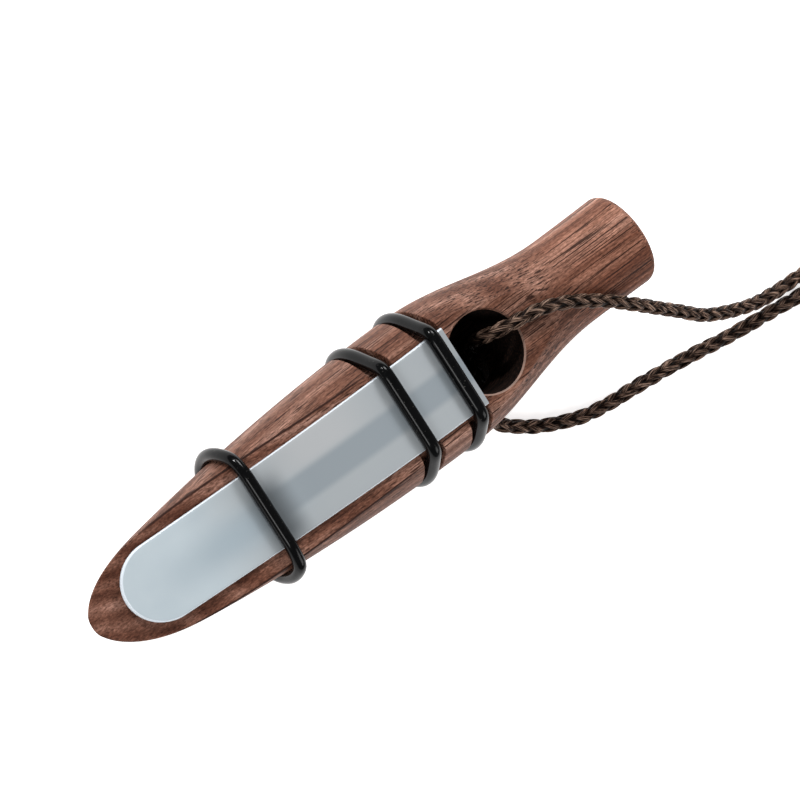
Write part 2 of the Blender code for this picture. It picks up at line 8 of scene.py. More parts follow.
import bmesh
import bpy
import numpy as np
from mathutils import Matrix
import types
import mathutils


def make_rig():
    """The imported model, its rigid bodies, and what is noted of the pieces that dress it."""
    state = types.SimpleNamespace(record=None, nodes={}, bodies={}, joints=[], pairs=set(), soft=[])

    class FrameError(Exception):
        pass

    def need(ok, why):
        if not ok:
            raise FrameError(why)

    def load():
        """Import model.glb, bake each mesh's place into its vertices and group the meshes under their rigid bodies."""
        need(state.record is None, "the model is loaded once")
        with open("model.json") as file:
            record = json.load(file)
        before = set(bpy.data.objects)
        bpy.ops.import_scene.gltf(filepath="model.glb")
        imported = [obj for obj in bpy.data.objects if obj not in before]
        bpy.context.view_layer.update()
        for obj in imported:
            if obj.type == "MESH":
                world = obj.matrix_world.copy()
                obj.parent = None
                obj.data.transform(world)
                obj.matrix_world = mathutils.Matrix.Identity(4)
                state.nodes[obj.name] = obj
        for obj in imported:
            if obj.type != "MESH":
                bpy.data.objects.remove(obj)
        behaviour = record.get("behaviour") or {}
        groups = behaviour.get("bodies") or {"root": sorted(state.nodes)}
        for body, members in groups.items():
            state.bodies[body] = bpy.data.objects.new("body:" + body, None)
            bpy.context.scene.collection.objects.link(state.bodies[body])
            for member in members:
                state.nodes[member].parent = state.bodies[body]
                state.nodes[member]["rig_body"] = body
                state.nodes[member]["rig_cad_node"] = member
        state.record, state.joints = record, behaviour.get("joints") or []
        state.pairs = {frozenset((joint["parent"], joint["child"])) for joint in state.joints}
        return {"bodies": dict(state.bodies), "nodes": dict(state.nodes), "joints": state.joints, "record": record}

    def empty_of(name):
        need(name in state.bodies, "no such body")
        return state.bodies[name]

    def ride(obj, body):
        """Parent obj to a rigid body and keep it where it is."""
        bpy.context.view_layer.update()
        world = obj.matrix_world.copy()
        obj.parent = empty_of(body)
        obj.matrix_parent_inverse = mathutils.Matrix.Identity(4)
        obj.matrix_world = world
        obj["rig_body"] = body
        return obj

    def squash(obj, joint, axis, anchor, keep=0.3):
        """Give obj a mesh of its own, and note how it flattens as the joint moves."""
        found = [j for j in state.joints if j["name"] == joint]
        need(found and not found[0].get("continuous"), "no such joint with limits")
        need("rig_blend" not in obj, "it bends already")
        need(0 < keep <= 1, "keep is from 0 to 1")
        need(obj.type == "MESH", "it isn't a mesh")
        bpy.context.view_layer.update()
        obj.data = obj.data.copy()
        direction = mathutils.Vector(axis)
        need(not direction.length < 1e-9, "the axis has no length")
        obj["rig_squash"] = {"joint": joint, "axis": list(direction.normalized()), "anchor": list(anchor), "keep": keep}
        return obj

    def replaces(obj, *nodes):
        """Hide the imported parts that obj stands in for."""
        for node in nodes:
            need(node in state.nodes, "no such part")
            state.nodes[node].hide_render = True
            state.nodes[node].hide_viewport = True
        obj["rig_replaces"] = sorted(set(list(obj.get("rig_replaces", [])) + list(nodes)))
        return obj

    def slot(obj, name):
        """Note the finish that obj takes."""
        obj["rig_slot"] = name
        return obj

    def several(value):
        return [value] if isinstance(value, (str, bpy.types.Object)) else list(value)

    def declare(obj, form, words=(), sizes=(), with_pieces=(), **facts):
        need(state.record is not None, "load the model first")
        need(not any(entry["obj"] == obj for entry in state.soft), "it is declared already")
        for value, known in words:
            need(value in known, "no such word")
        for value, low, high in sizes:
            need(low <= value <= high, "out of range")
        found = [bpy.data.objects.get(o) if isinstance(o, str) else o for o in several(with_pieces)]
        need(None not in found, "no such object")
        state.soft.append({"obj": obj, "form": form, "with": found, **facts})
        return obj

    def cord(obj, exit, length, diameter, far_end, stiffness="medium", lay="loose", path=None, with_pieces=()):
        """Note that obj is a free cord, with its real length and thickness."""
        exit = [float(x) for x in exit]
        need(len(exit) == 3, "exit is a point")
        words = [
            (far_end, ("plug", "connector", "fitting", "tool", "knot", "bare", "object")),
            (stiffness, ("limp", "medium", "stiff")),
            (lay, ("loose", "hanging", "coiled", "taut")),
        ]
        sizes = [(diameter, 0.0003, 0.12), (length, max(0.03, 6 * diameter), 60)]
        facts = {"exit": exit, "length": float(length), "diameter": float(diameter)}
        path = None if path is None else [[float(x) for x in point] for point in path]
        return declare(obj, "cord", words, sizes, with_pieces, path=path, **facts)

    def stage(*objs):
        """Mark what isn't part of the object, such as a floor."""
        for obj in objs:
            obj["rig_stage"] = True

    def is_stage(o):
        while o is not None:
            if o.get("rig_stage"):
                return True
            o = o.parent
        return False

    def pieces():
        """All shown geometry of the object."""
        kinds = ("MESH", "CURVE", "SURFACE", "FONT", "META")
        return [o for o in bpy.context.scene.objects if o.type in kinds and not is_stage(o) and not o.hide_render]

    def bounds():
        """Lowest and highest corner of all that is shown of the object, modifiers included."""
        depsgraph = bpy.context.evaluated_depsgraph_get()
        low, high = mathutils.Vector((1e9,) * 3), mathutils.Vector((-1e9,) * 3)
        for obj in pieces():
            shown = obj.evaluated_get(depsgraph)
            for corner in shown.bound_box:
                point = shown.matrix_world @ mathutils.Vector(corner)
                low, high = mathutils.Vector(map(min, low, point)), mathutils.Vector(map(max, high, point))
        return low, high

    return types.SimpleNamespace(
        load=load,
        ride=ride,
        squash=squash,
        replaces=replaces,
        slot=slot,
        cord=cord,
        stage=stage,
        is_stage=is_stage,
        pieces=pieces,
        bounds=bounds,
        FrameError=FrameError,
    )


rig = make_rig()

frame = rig.load()
cad_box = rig.bounds()


# Body: one piece of oiled walnut, turned to a spindle with a waisted barrel and two shallow grooves for the clamp
# rings, whose rear lips are cut back beside the bed. The top is sawn and sanded to a curved bed for the reed, the air
# channel is milled in it, and the cord hole and the sound hole, whose bore is burnt dark, are drilled.
MM = 0.001
AXIS_HEIGHT = 13.65 * MM
BODY_LENGTH = 115.4 * MM
TIP_X = -BODY_LENGTH / 2
BELLY_STATION, BELLY_RADIUS, BELLY_CURVE = 69.0 * MM, 12.69 * MM, 400.0 * MM
NOSE_LENGTH, NOSE_DROP, NOSE_POWER, LIP_RADIUS = 15.0 * MM, 2.5 * MM, 2.5, 0.6 * MM
COVE_START, COVE_LENGTH, NECK_RADIUS, BARREL_RADIUS = 71.3 * MM, 30.6 * MM, 8.24 * MM, 8.38 * MM
BARREL_EDGE = 1.6 * MM
GROOVE_STATIONS, GROOVE_RADIUS = (60.95 * MM, 71.4 * MM), 11.05 * MM
GROOVE_HALF, GROOVE_LIP = 1.32 * MM, 0.42 * MM
MOUTH_LENGTH, MOUTH_FROM, MOUTH_TO = 1.25 * MM, np.radians(2), np.radians(44)
CREST_STATION, CREST_HEIGHT, BED_CURVE = 67.3 * MM, 9.06 * MM, 170.0 * MM
FLAT_SLOPE, FLAT_END, RUN_OUT, RUN_OUT_SHARE = 0.03, 88.0 * MM, 28.0 * MM, 0.98
CREASE_ROUND = 0.40 * MM
HOLE_STATION, HOLE_RADIUS, HOLE_DEPTH, HOLE_CHAMFER = 79.45 * MM, 7.0 * MM, 12.7 * MM, 0.28 * MM
HOLE_FLOOR_ROUND = 1.5 * MM
CHANNEL_FRONT, CHANNEL_HALF, CHANNEL_DEPTH = 21.7 * MM, 2.4 * MM, 2.6 * MM
CORD_HOLE_INNER = np.array((23.8, 1.0, 12.2)) * MM
CORD_HOLE_OUTER = np.array((23.9, -9.4, 5.6)) * MM
CORD_HOLE_RADIUS, CORD_HOLE_LENGTH = 2.2 * MM, 22.0 * MM


def turned_radius(station):
    """Lathe outline: an arc that swells to the belly, less a rounded nose and a small lip at the tip; behind the belly
    a cosine cove down to the neck and a slight flare; two grooves with softened lips."""
    ahead = np.maximum(0.0, BELLY_STATION - station)
    front = BELLY_RADIUS - ahead**2 / (2 * BELLY_CURVE)
    front = front - NOSE_DROP * np.maximum(0.0, 1 - station / NOSE_LENGTH) ** NOSE_POWER
    lip = np.clip(LIP_RADIUS - station, 0.0, LIP_RADIUS)
    front = front - LIP_RADIUS + np.sqrt(LIP_RADIUS**2 - lip**2)
    share = np.clip((station - COVE_START) / COVE_LENGTH, 0.0, 1.0)
    rear = NECK_RADIUS + (BELLY_RADIUS - NECK_RADIUS) * (0.5 + 0.5 * np.cos(np.pi * share))
    flare = np.clip((station - COVE_START - COVE_LENGTH) / (BODY_LENGTH - COVE_START - COVE_LENGTH), 0.0, 1.0)
    rear = rear + (BARREL_RADIUS - NECK_RADIUS) * flare**2
    radius = np.where(station <= COVE_START, front, rear)
    for middle in GROOVE_STATIONS:
        out = np.clip((np.abs(station - middle) - GROOVE_HALF) / GROOVE_LIP, 0.0, 1.0)
        inside = 1 - out**2 * (3 - 2 * out)
        radius = radius - inside * np.maximum(0.0, radius - GROOVE_RADIUS)
    return radius


def bed_height(station):
    """Height of the bed over the axis: a parabola that falls from the crest to the tip, a slight straight slope behind
    the crest, and an arc that runs out upwards through the neck."""
    height = CREST_HEIGHT - np.maximum(0.0, CREST_STATION - station) ** 2 / (2 * BED_CURVE)
    height = height - FLAT_SLOPE * np.maximum(0.0, station - CREST_STATION)
    past = np.clip(station - FLAT_END, 0.0, RUN_OUT_SHARE * RUN_OUT)
    return height + RUN_OUT - np.sqrt(RUN_OUT**2 - past**2)


def closed_mesh(name, points, faces, merge=0.0):
    """Smooth mesh of points and faces. Points that fall together are merged, which closes poles, open ends are filled,
    and all faces are turned outwards."""
    mesh = bpy.data.meshes.new(name)
    mesh.from_pydata(points.reshape(-1, 3).tolist(), [], faces.tolist())
    work = bmesh.new()
    work.from_mesh(mesh)
    if merge:
        bmesh.ops.remove_doubles(work, verts=work.verts, dist=merge)
    bmesh.ops.holes_fill(work, edges=[edge for edge in work.edges if edge.is_boundary], sides=0)
    bmesh.ops.recalc_face_normals(work, faces=work.faces)
    work.to_mesh(mesh)
    work.free()
    mesh.polygons.foreach_set("use_smooth", np.ones(len(mesh.polygons), dtype=bool))
    return mesh


def grid_faces(index):
    """Faces of one or more grids of point numbers (rows, columns last): every four neighbours make a face."""
    corners = [index[..., :-1, :-1], index[..., :-1, 1:], index[..., 1:, 1:], index[..., 1:, :-1]]
    return np.stack(corners, axis=-1).reshape(-1, 4)


def grid_mesh(name, points, wrap_rows=False, wrap_columns=False, merge=0.0):
    """Closed mesh of a grid of points (rows, columns, 3). A wrapped direction joins its last line to its first."""
    rows, columns = points.shape[:2]
    index = np.arange(rows * columns).reshape(rows, columns)
    index = np.concatenate([index, index[:1]], axis=0) if wrap_rows else index
    index = np.concatenate([index, index[:, :1]], axis=1) if wrap_columns else index
    return closed_mesh(name, points, grid_faces(index), merge)


def add_piece(name, mesh, material=None):
    """Object for a mesh, at the origin, with its material."""
    piece = bpy.data.objects.new(name, mesh)
    bpy.context.scene.collection.objects.link(piece)
    if material:
        mesh.materials.append(material)
    return piece


def body_section_grid(station, radius, across=30, corner=7, around=150):
    """One row for each station: the turned circle cut off level at the bed's height, with a small round where the flat
    and the circle meet, finer where they meet at a thin edge. Where the bed lies above the circle, the flat has no
    width and the row is the whole circle."""
    radius = radius[:, None]
    height = np.minimum(bed_height(station)[:, None], radius)
    wedge = np.pi / 2 + np.arcsin(np.clip(height / np.maximum(radius, 1e-9), -1.0, 1.0))
    round_off = np.minimum(CREASE_ROUND * np.minimum(1.0, np.tan(wedge / 2)), 0.15 * np.maximum(radius + height, 1e-9))
    half = np.sqrt(np.maximum(0.0, (radius - round_off) ** 2 - (height - round_off) ** 2))
    meets = np.arctan2(height - round_off, half)
    flat_y = half * np.linspace(-1, 1, across)[None, 1:-1]
    flat_z = np.broadcast_to(height, flat_y.shape)
    turn = np.pi / 2 + (meets - np.pi / 2) * np.linspace(0, 1, corner)[None]
    corner_y, corner_z = half + round_off * np.cos(turn), height - round_off + round_off * np.sin(turn)
    sweep = meets - (np.pi + 2 * meets) * np.linspace(0, 1, around)[None, 1:-1]
    y = np.concatenate([flat_y, corner_y, radius * np.cos(sweep), -corner_y[:, ::-1]], axis=1)
    z = np.concatenate([flat_z, corner_z, radius * np.sin(sweep), corner_z[:, ::-1]], axis=1)
    x = np.broadcast_to(TIP_X + station[:, None], y.shape)
    return np.stack([x, y, AXIS_HEIGHT + z], axis=-1)


def groove_mouth(points):
    """Share, from 0 to 1, by which a point is cut back behind a groove: 1 over a length that grows from nothing low on
    the side to a full mouth at the bed's edge, with a softened end."""
    station, y, z = points[..., 0] - TIP_X, points[..., 1], points[..., 2] - AXIS_HEIGHT
    up = np.clip((np.arctan2(z, np.abs(y)) - MOUTH_FROM) / (MOUTH_TO - MOUTH_FROM), 0.0, 1.0)
    share = np.zeros(station.shape)
    for middle in GROOVE_STATIONS:
        past = np.clip((station - middle - GROOVE_HALF - MOUTH_LENGTH * up) / GROOVE_LIP, 0.0, 1.0)
        share = np.maximum(share, np.where(station > middle, 1 - past**2 * (3 - 2 * past), 0.0))
    return share * np.minimum(1.0, 6 * up)


def cut_mouths(points):
    """The body's points, drawn in towards the axis to the groove's radius by the share of the groove's mouth."""
    from_axis = np.hypot(points[..., 1], points[..., 2] - AXIS_HEIGHT)
    drawn = 1 - groove_mouth(points) * np.maximum(0.0, from_axis - GROOVE_RADIUS) / np.maximum(from_axis, 1e-9)
    y, z = drawn * points[..., 1], AXIS_HEIGHT + drawn * (points[..., 2] - AXIS_HEIGHT)
    return np.stack([points[..., 0], y, z], axis=-1)


near_tip = np.linspace(0, 2 * MM, 4001)
tip_start = np.interp(0.0, turned_radius(near_tip) + bed_height(near_tip), near_tip)
edge_turn = np.linspace(0, np.pi / 2, 9)[1:]
edge_start = BODY_LENGTH - BARREL_EDGE
stations = np.concatenate([
    tip_start + 3 * MM * np.linspace(0, 1, 30) ** 2.2,
    np.linspace(3 * MM + tip_start, 16 * MM, 32)[1:],
    np.linspace(16 * MM, 58.5 * MM, 64)[1:],
    np.linspace(58.5 * MM, 75.0 * MM, 140)[1:],
    np.linspace(75.0 * MM, 100 * MM, 66)[1:],
    np.linspace(100 * MM, edge_start, 16)[1:],
])
radii = turned_radius(stations)
radii[0] = -bed_height(stations[:1])[0]
edge_radius = radii[-1] - BARREL_EDGE + BARREL_EDGE * np.cos(edge_turn)
stations = np.concatenate([stations, edge_start + BARREL_EDGE * np.sin(edge_turn), np.full(7, BODY_LENGTH)])
radii = np.concatenate([radii, edge_radius, edge_radius[-1] * np.linspace(1, 0, 8)[1:]])
body_mesh = grid_mesh("walnut_body", cut_mouths(body_section_grid(stations, radii)), wrap_columns=True, merge=2e-6)


def round_about(count):
    """Even angles once round a circle."""
    return np.linspace(0, 2 * np.pi, count, endpoint=False)


def turned_cutter(name, profile, segments=96):
    """Cutter turned about the sound hole's axis: profile points (radius, height over the bed) swept round, and sheared
    to the bed's slope so that the rim is even."""
    angle = round_about(segments)
    radius, height = profile[:, :1], profile[:, 1:]
    x = radius * np.cos(angle)
    y = radius * np.sin(angle)
    z = AXIS_HEIGHT + bed_height(np.array(HOLE_STATION)) + height - FLAT_SLOPE * x
    return grid_mesh(name, np.stack([TIP_X + HOLE_STATION + x, y, z], axis=-1), wrap_columns=True, merge=1e-7)


floor_round = np.linspace(0, np.pi / 2, 7)
floor_radius = HOLE_RADIUS - HOLE_FLOOR_ROUND
hole_profile = np.concatenate([
    np.stack([floor_radius * np.array((0, 0.5)), np.full(2, -HOLE_DEPTH)], axis=1),
    np.stack([floor_radius + HOLE_FLOOR_ROUND * np.sin(floor_round),
              -HOLE_DEPTH + HOLE_FLOOR_ROUND - HOLE_FLOOR_ROUND * np.cos(floor_round)], axis=1),
    np.array([(HOLE_RADIUS, -HOLE_CHAMFER), (HOLE_RADIUS + 2 * HOLE_CHAMFER, HOLE_CHAMFER), (0, HOLE_CHAMFER)]),
])
sound_hole_cutter = add_piece("sound_hole_cutter", turned_cutter("sound_hole_cutter", hole_profile))


def channel_grid():
    """Milled groove: a U with rounded lower corners that follows the bed, scooped out at its front by a quarter round
    in width and in depth, and open above."""
    station = np.concatenate([
        CHANNEL_FRONT + 2 * CHANNEL_HALF * (1 - np.cos(np.linspace(0.1, np.pi / 2, 14))),
        np.linspace(CHANNEL_FRONT + 2 * CHANNEL_HALF, HOLE_STATION, 60)[1:],
    ])
    from_front = np.clip((station - CHANNEL_FRONT) / (2 * CHANNEL_HALF), 0, 1)
    scoop = np.sqrt(1 - (1 - from_front) ** 2)[:, None]
    turn = np.linspace(0, np.pi / 2, 5)
    low_y = 0.6 + 0.4 * np.sin(turn)
    low_z = -1 + 0.37 * (1 - np.cos(turn))
    y = np.concatenate([[-1.0], -low_y[::-1], low_y, [1.0]])
    z = np.concatenate([[0.6], low_z[::-1], low_z, [0.6]])
    bed = (AXIS_HEIGHT + bed_height(station))[:, None]
    depth = np.where(z < 0, scoop, 1.0) * CHANNEL_DEPTH * z[None]
    return np.stack([np.broadcast_to(TIP_X + station[:, None], depth.shape), CHANNEL_HALF * scoop * y, bed + depth], -1)


channel_cutter = add_piece("channel_cutter", grid_mesh("channel_cutter", channel_grid(), wrap_columns=True))


def unit(vectors):
    """Vectors over their lengths."""
    return vectors / np.linalg.norm(vectors, axis=-1, keepdims=True)


def straight_rod(start, end, radius, segments=40):
    """Round rod: two circles square to the line between its ends."""
    along = unit(end - start)
    side = unit(np.cross(along, (1.0, 0.0, 0.0)))
    angle = round_about(segments)[:, None]
    ring = radius * (np.cos(angle) * side + np.sin(angle) * np.cross(along, side))
    return np.stack([start + ring, end + ring])


cord_way = unit(CORD_HOLE_OUTER - CORD_HOLE_INNER)
cord_hole = straight_rod(CORD_HOLE_INNER, CORD_HOLE_INNER + CORD_HOLE_LENGTH * cord_way, CORD_HOLE_RADIUS)
cord_hole_cutter = add_piece("cord_hole_cutter", grid_mesh("cord_hole_cutter", cord_hole, wrap_columns=True))


def drilled(mesh, *cutters):
    """Mesh with the cutters taken out of it, sharp where a cut meets the surface. The cutters are removed."""
    blank = add_piece("blank", mesh)
    for cutter in cutters:
        boolean = blank.modifiers.new(cutter.name, "BOOLEAN")
        boolean.object, boolean.solver = cutter, "EXACT"
    done = bpy.data.meshes.new_from_object(blank.evaluated_get(bpy.context.evaluated_depsgraph_get()))
    for gone in (blank, *cutters):
        bpy.data.objects.remove(gone)
    done.set_sharp_from_angle(angle=np.radians(38))
    return done


def per_face(mesh, what):
    """One vector for each face of a mesh: its centre or its normal."""
    vectors = np.empty(len(mesh.polygons) * 3)
    mesh.polygons.foreach_get(what, vectors)
    return vectors.reshape(-1, 3)


def mark(mesh, name, share, domain="FACE"):
    """Named share, from 0 to 1, on each face or point of a mesh, for its material to read."""
    mesh.attributes.new(name, "FLOAT", domain).data.foreach_set("value", share.astype(np.float32))


CLOSE, BED_SKIN, CREASE_WIDTH, MOUTH_DEPTH = 0.02 * MM, 0.06 * MM, 0.26 * MM, 0.8 * MM
SAWN_END, SAWN_FADE, CREASE_START, CREASE_END, CREASE_FADE = 64 * MM, 50 * MM, 14 * MM, 62 * MM, 6 * MM
body_mesh = drilled(body_mesh, sound_hole_cutter, channel_cutter, cord_hole_cutter)
centres = per_face(body_mesh, "center")
behind_tip = centres[:, 0] - TIP_X
under_bed = AXIS_HEIGHT + bed_height(behind_tip) - centres[:, 2]
from_axis = np.hypot(centres[:, 1], centres[:, 2] - AXIS_HEIGHT)
from_hole = np.hypot(behind_tip - HOLE_STATION, centres[:, 1])
from_inner = centres - CORD_HOLE_INNER
from_cord = np.linalg.norm(from_inner - (from_inner @ cord_way)[:, None] * cord_way, axis=1)
bored = (from_hole < HOLE_RADIUS + CLOSE) & (under_bed > HOLE_CHAMFER) & (under_bed < HOLE_DEPTH + MM)
bored |= (from_cord < CORD_HOLE_RADIUS + CLOSE) & (from_inner @ cord_way > 0.0)
mark(body_mesh, "burnt", bored)
mark(body_mesh, "sawn", (np.abs(under_bed) < BED_SKIN) * np.clip((SAWN_END - behind_tip) / SAWN_FADE, 0.0, 1.0))
crease_side = np.sqrt(np.maximum(0.0, turned_radius(behind_tip) ** 2 - bed_height(behind_tip) ** 2))
from_crease = np.hypot(np.abs(centres[:, 1]) - crease_side, under_bed)
on_crease = np.clip(1.7 * np.exp(-((from_crease / CREASE_WIDTH) ** 2)), 0.0, 1.0) * (behind_tip > CREASE_START)
on_crease = on_crease * np.clip((CREASE_END - behind_tip) / CREASE_FADE, 0.0, 1.0)
in_mouth = groove_mouth(centres) * (np.abs(from_axis - GROOVE_RADIUS) < MOUTH_DEPTH)
mark(body_mesh, "crease", np.maximum(on_crease, in_mouth))
off_rim = np.maximum(np.abs(from_hole - HOLE_RADIUS - HOLE_CHAMFER / 2), np.abs(under_bed - HOLE_CHAMFER / 2))
lit_rim = np.clip(0.45 - centres[:, 1] / (2 * HOLE_RADIUS), 0.0, 1.0)
mark(body_mesh, "rim", (off_rim < 0.49 * HOLE_CHAMFER) * lit_rim)


def new_material(name):
    """Principled material and short ways to build it: make adds a node, ramp colours a value, blend mixes two colours,
    math works on values, ease is a soft step between two values, marked reads a share from the mesh, and finish fills
    the shader's sockets, adds a relief and gives back the material."""
    material = bpy.data.materials.new(name)
    material.use_nodes = True
    tree = material.node_tree
    shader = tree.nodes["Principled BSDF"]

    def put(socket, value):
        if isinstance(value, bpy.types.NodeSocket):
            tree.links.new(value, socket)
        else:
            socket.default_value = value

    def make(kind, inputs, **settings):
        node = tree.nodes.new(kind)
        for key, value in settings.items():
            setattr(node, key, value)
        for key, value in inputs.items():
            put(node.inputs[key], value)
        return node

    def ramp(value, *stops):
        node = make("ShaderNodeValToRGB", {"Fac": value})
        for element, (place, colour) in zip(node.color_ramp.elements, (stops[0], stops[-1])):
            element.position, element.color = place, (*colour, 1.0)
        for place, colour in stops[1:-1]:
            node.color_ramp.elements.new(place).color = (*colour, 1.0)
        return node.outputs["Color"]

    def blend(factor, first, second, mode="MIX"):
        return make("ShaderNodeMix", {0: factor, 6: first, 7: second}, data_type="RGBA", blend_type=mode).outputs[2]

    def math(operation, first, second=0.0, third=0.0, clamp=False):
        return make("ShaderNodeMath", {0: first, 1: second, 2: third}, operation=operation, use_clamp=clamp).outputs[0]

    def ease(value, low, high, least=0.0, most=1.0):
        return make("ShaderNodeMapRange", {0: value, 1: low, 2: high, 3: least, 4: most},
                    interpolation_type="SMOOTHSTEP").outputs[0]

    def marked(share):
        return make("ShaderNodeAttribute", {}, attribute_name=share).outputs["Fac"]

    def finish(sockets, relief=None, strength=0.0, depth=0.1 * MM, **settings):
        for key, value in sockets.items():
            put(shader.inputs[key], value)
        if relief is not None:
            bump = make("ShaderNodeBump", {"Height": relief, "Strength": strength, "Distance": depth}, **settings)
            put(shader.inputs["Normal"], bump.outputs[0])
        return material

    return make, ramp, blend, math, ease, marked, finish


def walnut():
    """Walnut: growth layers round a pith line outside the stock, warped by slow noise, which show as long streaks and
    flames; fine fibres, short dark pores and a fleck stretched along the axis; paler along the barrel, with darker
    heartwood on one side of it; darker where the saw has opened the grain and along the crease beside the bed, bare
    wood on the lit rim of the sound hole, and almost black where the bore is burnt."""
    make, ramp, blend, math, ease, marked, finish = new_material("walnut")
    place = make("ShaderNodeTexCoord", {}).outputs["Object"]

    def stretched(share, scale, detail, roughness, aside=0.0):
        lie = make("ShaderNodeMapping", {"Vector": place, "Scale": (share, 1.0, 1.0), "Rotation": (0.0, 0.03, 0.025),
                                         "Location": (0.0, aside, 0.0)})
        return make("ShaderNodeTexNoise", {"Vector": lie.outputs[0], "Scale": scale, "Detail": detail,
                                           "Roughness": roughness}).outputs["Fac"]

    layers = make("ShaderNodeMapping", {"Vector": place, "Location": (0.0, 0.019, 0.011), "Rotation": (0.0, 0.05, 0.06),
                                        "Scale": (0.16, 1.0, 1.0)})
    rings = make("ShaderNodeTexWave", {"Vector": layers.outputs[0], "Scale": 130.0, "Distortion": 4.5, "Detail": 3.0,
                                       "Detail Scale": 0.9, "Detail Roughness": 0.6},
                 wave_type="RINGS", rings_direction="X", wave_profile="SIN").outputs["Fac"]
    drift = stretched(0.040, 300.0, 4.0, 0.62, 0.003)
    fibre = stretched(0.030, 2700.0, 4.0, 0.7)
    pore = stretched(0.016, 4400.0, 0.6, 0.5)
    fleck = stretched(0.30, 4200.0, 2.0, 0.6)

    tone = math("MULTIPLY_ADD", rings, 0.26, math("MULTIPLY", drift, 0.74))
    colour = ramp(tone, (0.30, (0.098, 0.036, 0.021)), (0.47, (0.168, 0.073, 0.047)), (0.60, (0.232, 0.112, 0.077)),
                  (0.76, (0.345, 0.190, 0.142)))
    cut = marked("sawn")
    streaks = ramp(fibre, (0.28, (0.42, 0.36, 0.33)), (0.72, (1.52, 1.60, 1.64)))
    colour = blend(math("MULTIPLY_ADD", cut, -0.3, 1.0), colour, streaks, "MULTIPLY")
    colour = blend(1.0, colour, ramp(fleck, (0.28, (0.46, 0.43, 0.41)), (0.72, (1.54, 1.57, 1.59))), "MULTIPLY")
    along, across, _ = make("ShaderNodeSeparateXYZ", {0: place}).outputs
    colour = blend(1.0, colour, ease(along, 30 * MM, 50 * MM, 1.0, 1.48), "MULTIPLY")
    heart = math("MULTIPLY", ease(across, 0.8 * MM, -3.2 * MM), ease(along, 32 * MM, 44 * MM))
    colour = blend(heart, colour, (0.56, 0.44, 0.37, 1.0), "MULTIPLY")
    open_wood = math("MULTIPLY_ADD", rings, -0.05, 0.605)
    depth = math("MULTIPLY", math("SUBTRACT", pore, open_wood), 13.0, clamp=True)
    depth = math("MULTIPLY", depth, math("MULTIPLY_ADD", cut, -0.75, 0.92))
    colour = blend(depth, colour, (0.022, 0.007, 0.004, 1.0))
    colour = blend(math("MULTIPLY", cut, 0.85), colour, (0.90, 0.83, 0.81, 1.0), "MULTIPLY")
    broken = math("MULTIPLY_ADD", drift, 2.6, -0.35, clamp=True)
    colour = blend(math("MULTIPLY", marked("crease"), broken, clamp=True), colour, (0.030, 0.010, 0.006, 1.0))
    colour = blend(math("MULTIPLY", marked("rim"), 0.40), colour, (0.66, 0.47, 0.39, 1.0))
    char = marked("burnt")
    colour = blend(char, colour, ramp(fibre, (0.45, (0.0025, 0.0013, 0.0009)), (0.72, (0.045, 0.021, 0.014))))
    dull = math("MULTIPLY_ADD", char, 0.4, math("MULTIPLY_ADD", fibre, 0.25, 0.42))
    relief = math("MULTIPLY_ADD", depth, -1.0, math("MULTIPLY", fibre, 0.7))
    return finish({"Base Color": colour, "Roughness": dull, "Specular IOR Level": 0.11}, relief, 0.4)


body = add_piece("walnut_body", body_mesh, walnut())
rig.ride(body, "call")
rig.replaces(body, "body")
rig.slot(body, "walnut")


# Reed: a strip of milky plastic sheet with a half-round tip and polished, rounded upper edges. It follows the bed and
# lifts clear of it ahead of the tuning ring. The air channel shows through it as a cooler band.
REED_REAR, REED_TIP, REED_REAR_WIDTH, REED_TIP_WIDTH = 74.5 * MM, 6.0 * MM, 14.9 * MM, 13.55 * MM
REED_THICKNESS, REED_GAP, REED_LIFT, REED_SIDE, REED_EDGE = 0.70 * MM, 0.22 * MM, 1.2 * MM, 0.45 * MM, 0.38 * MM
TUNING_STATION = 32.15 * MM


def reed_underside(station):
    """Height of the reed's underside: a gap over the bed, with a lift that grows as the square of the distance ahead
    of the tuning ring."""
    share = np.clip((TUNING_STATION - station) / (TUNING_STATION - REED_TIP), 0.0, None)
    return bed_height(station) + REED_GAP + REED_LIFT * share**2


def reed_half_width(station):
    """Half of the reed's width: a straight taper times the half-round of the tip."""
    share = (station - REED_TIP) / (REED_REAR - REED_TIP)
    half = (REED_TIP_WIDTH + (REED_REAR_WIDTH - REED_TIP_WIDTH) * share) / 2
    from_tip = np.clip((station - REED_TIP) / (REED_TIP_WIDTH / 2), 0.0, 1.0)
    return half * np.sqrt(1 - (1 - from_tip) ** 2)


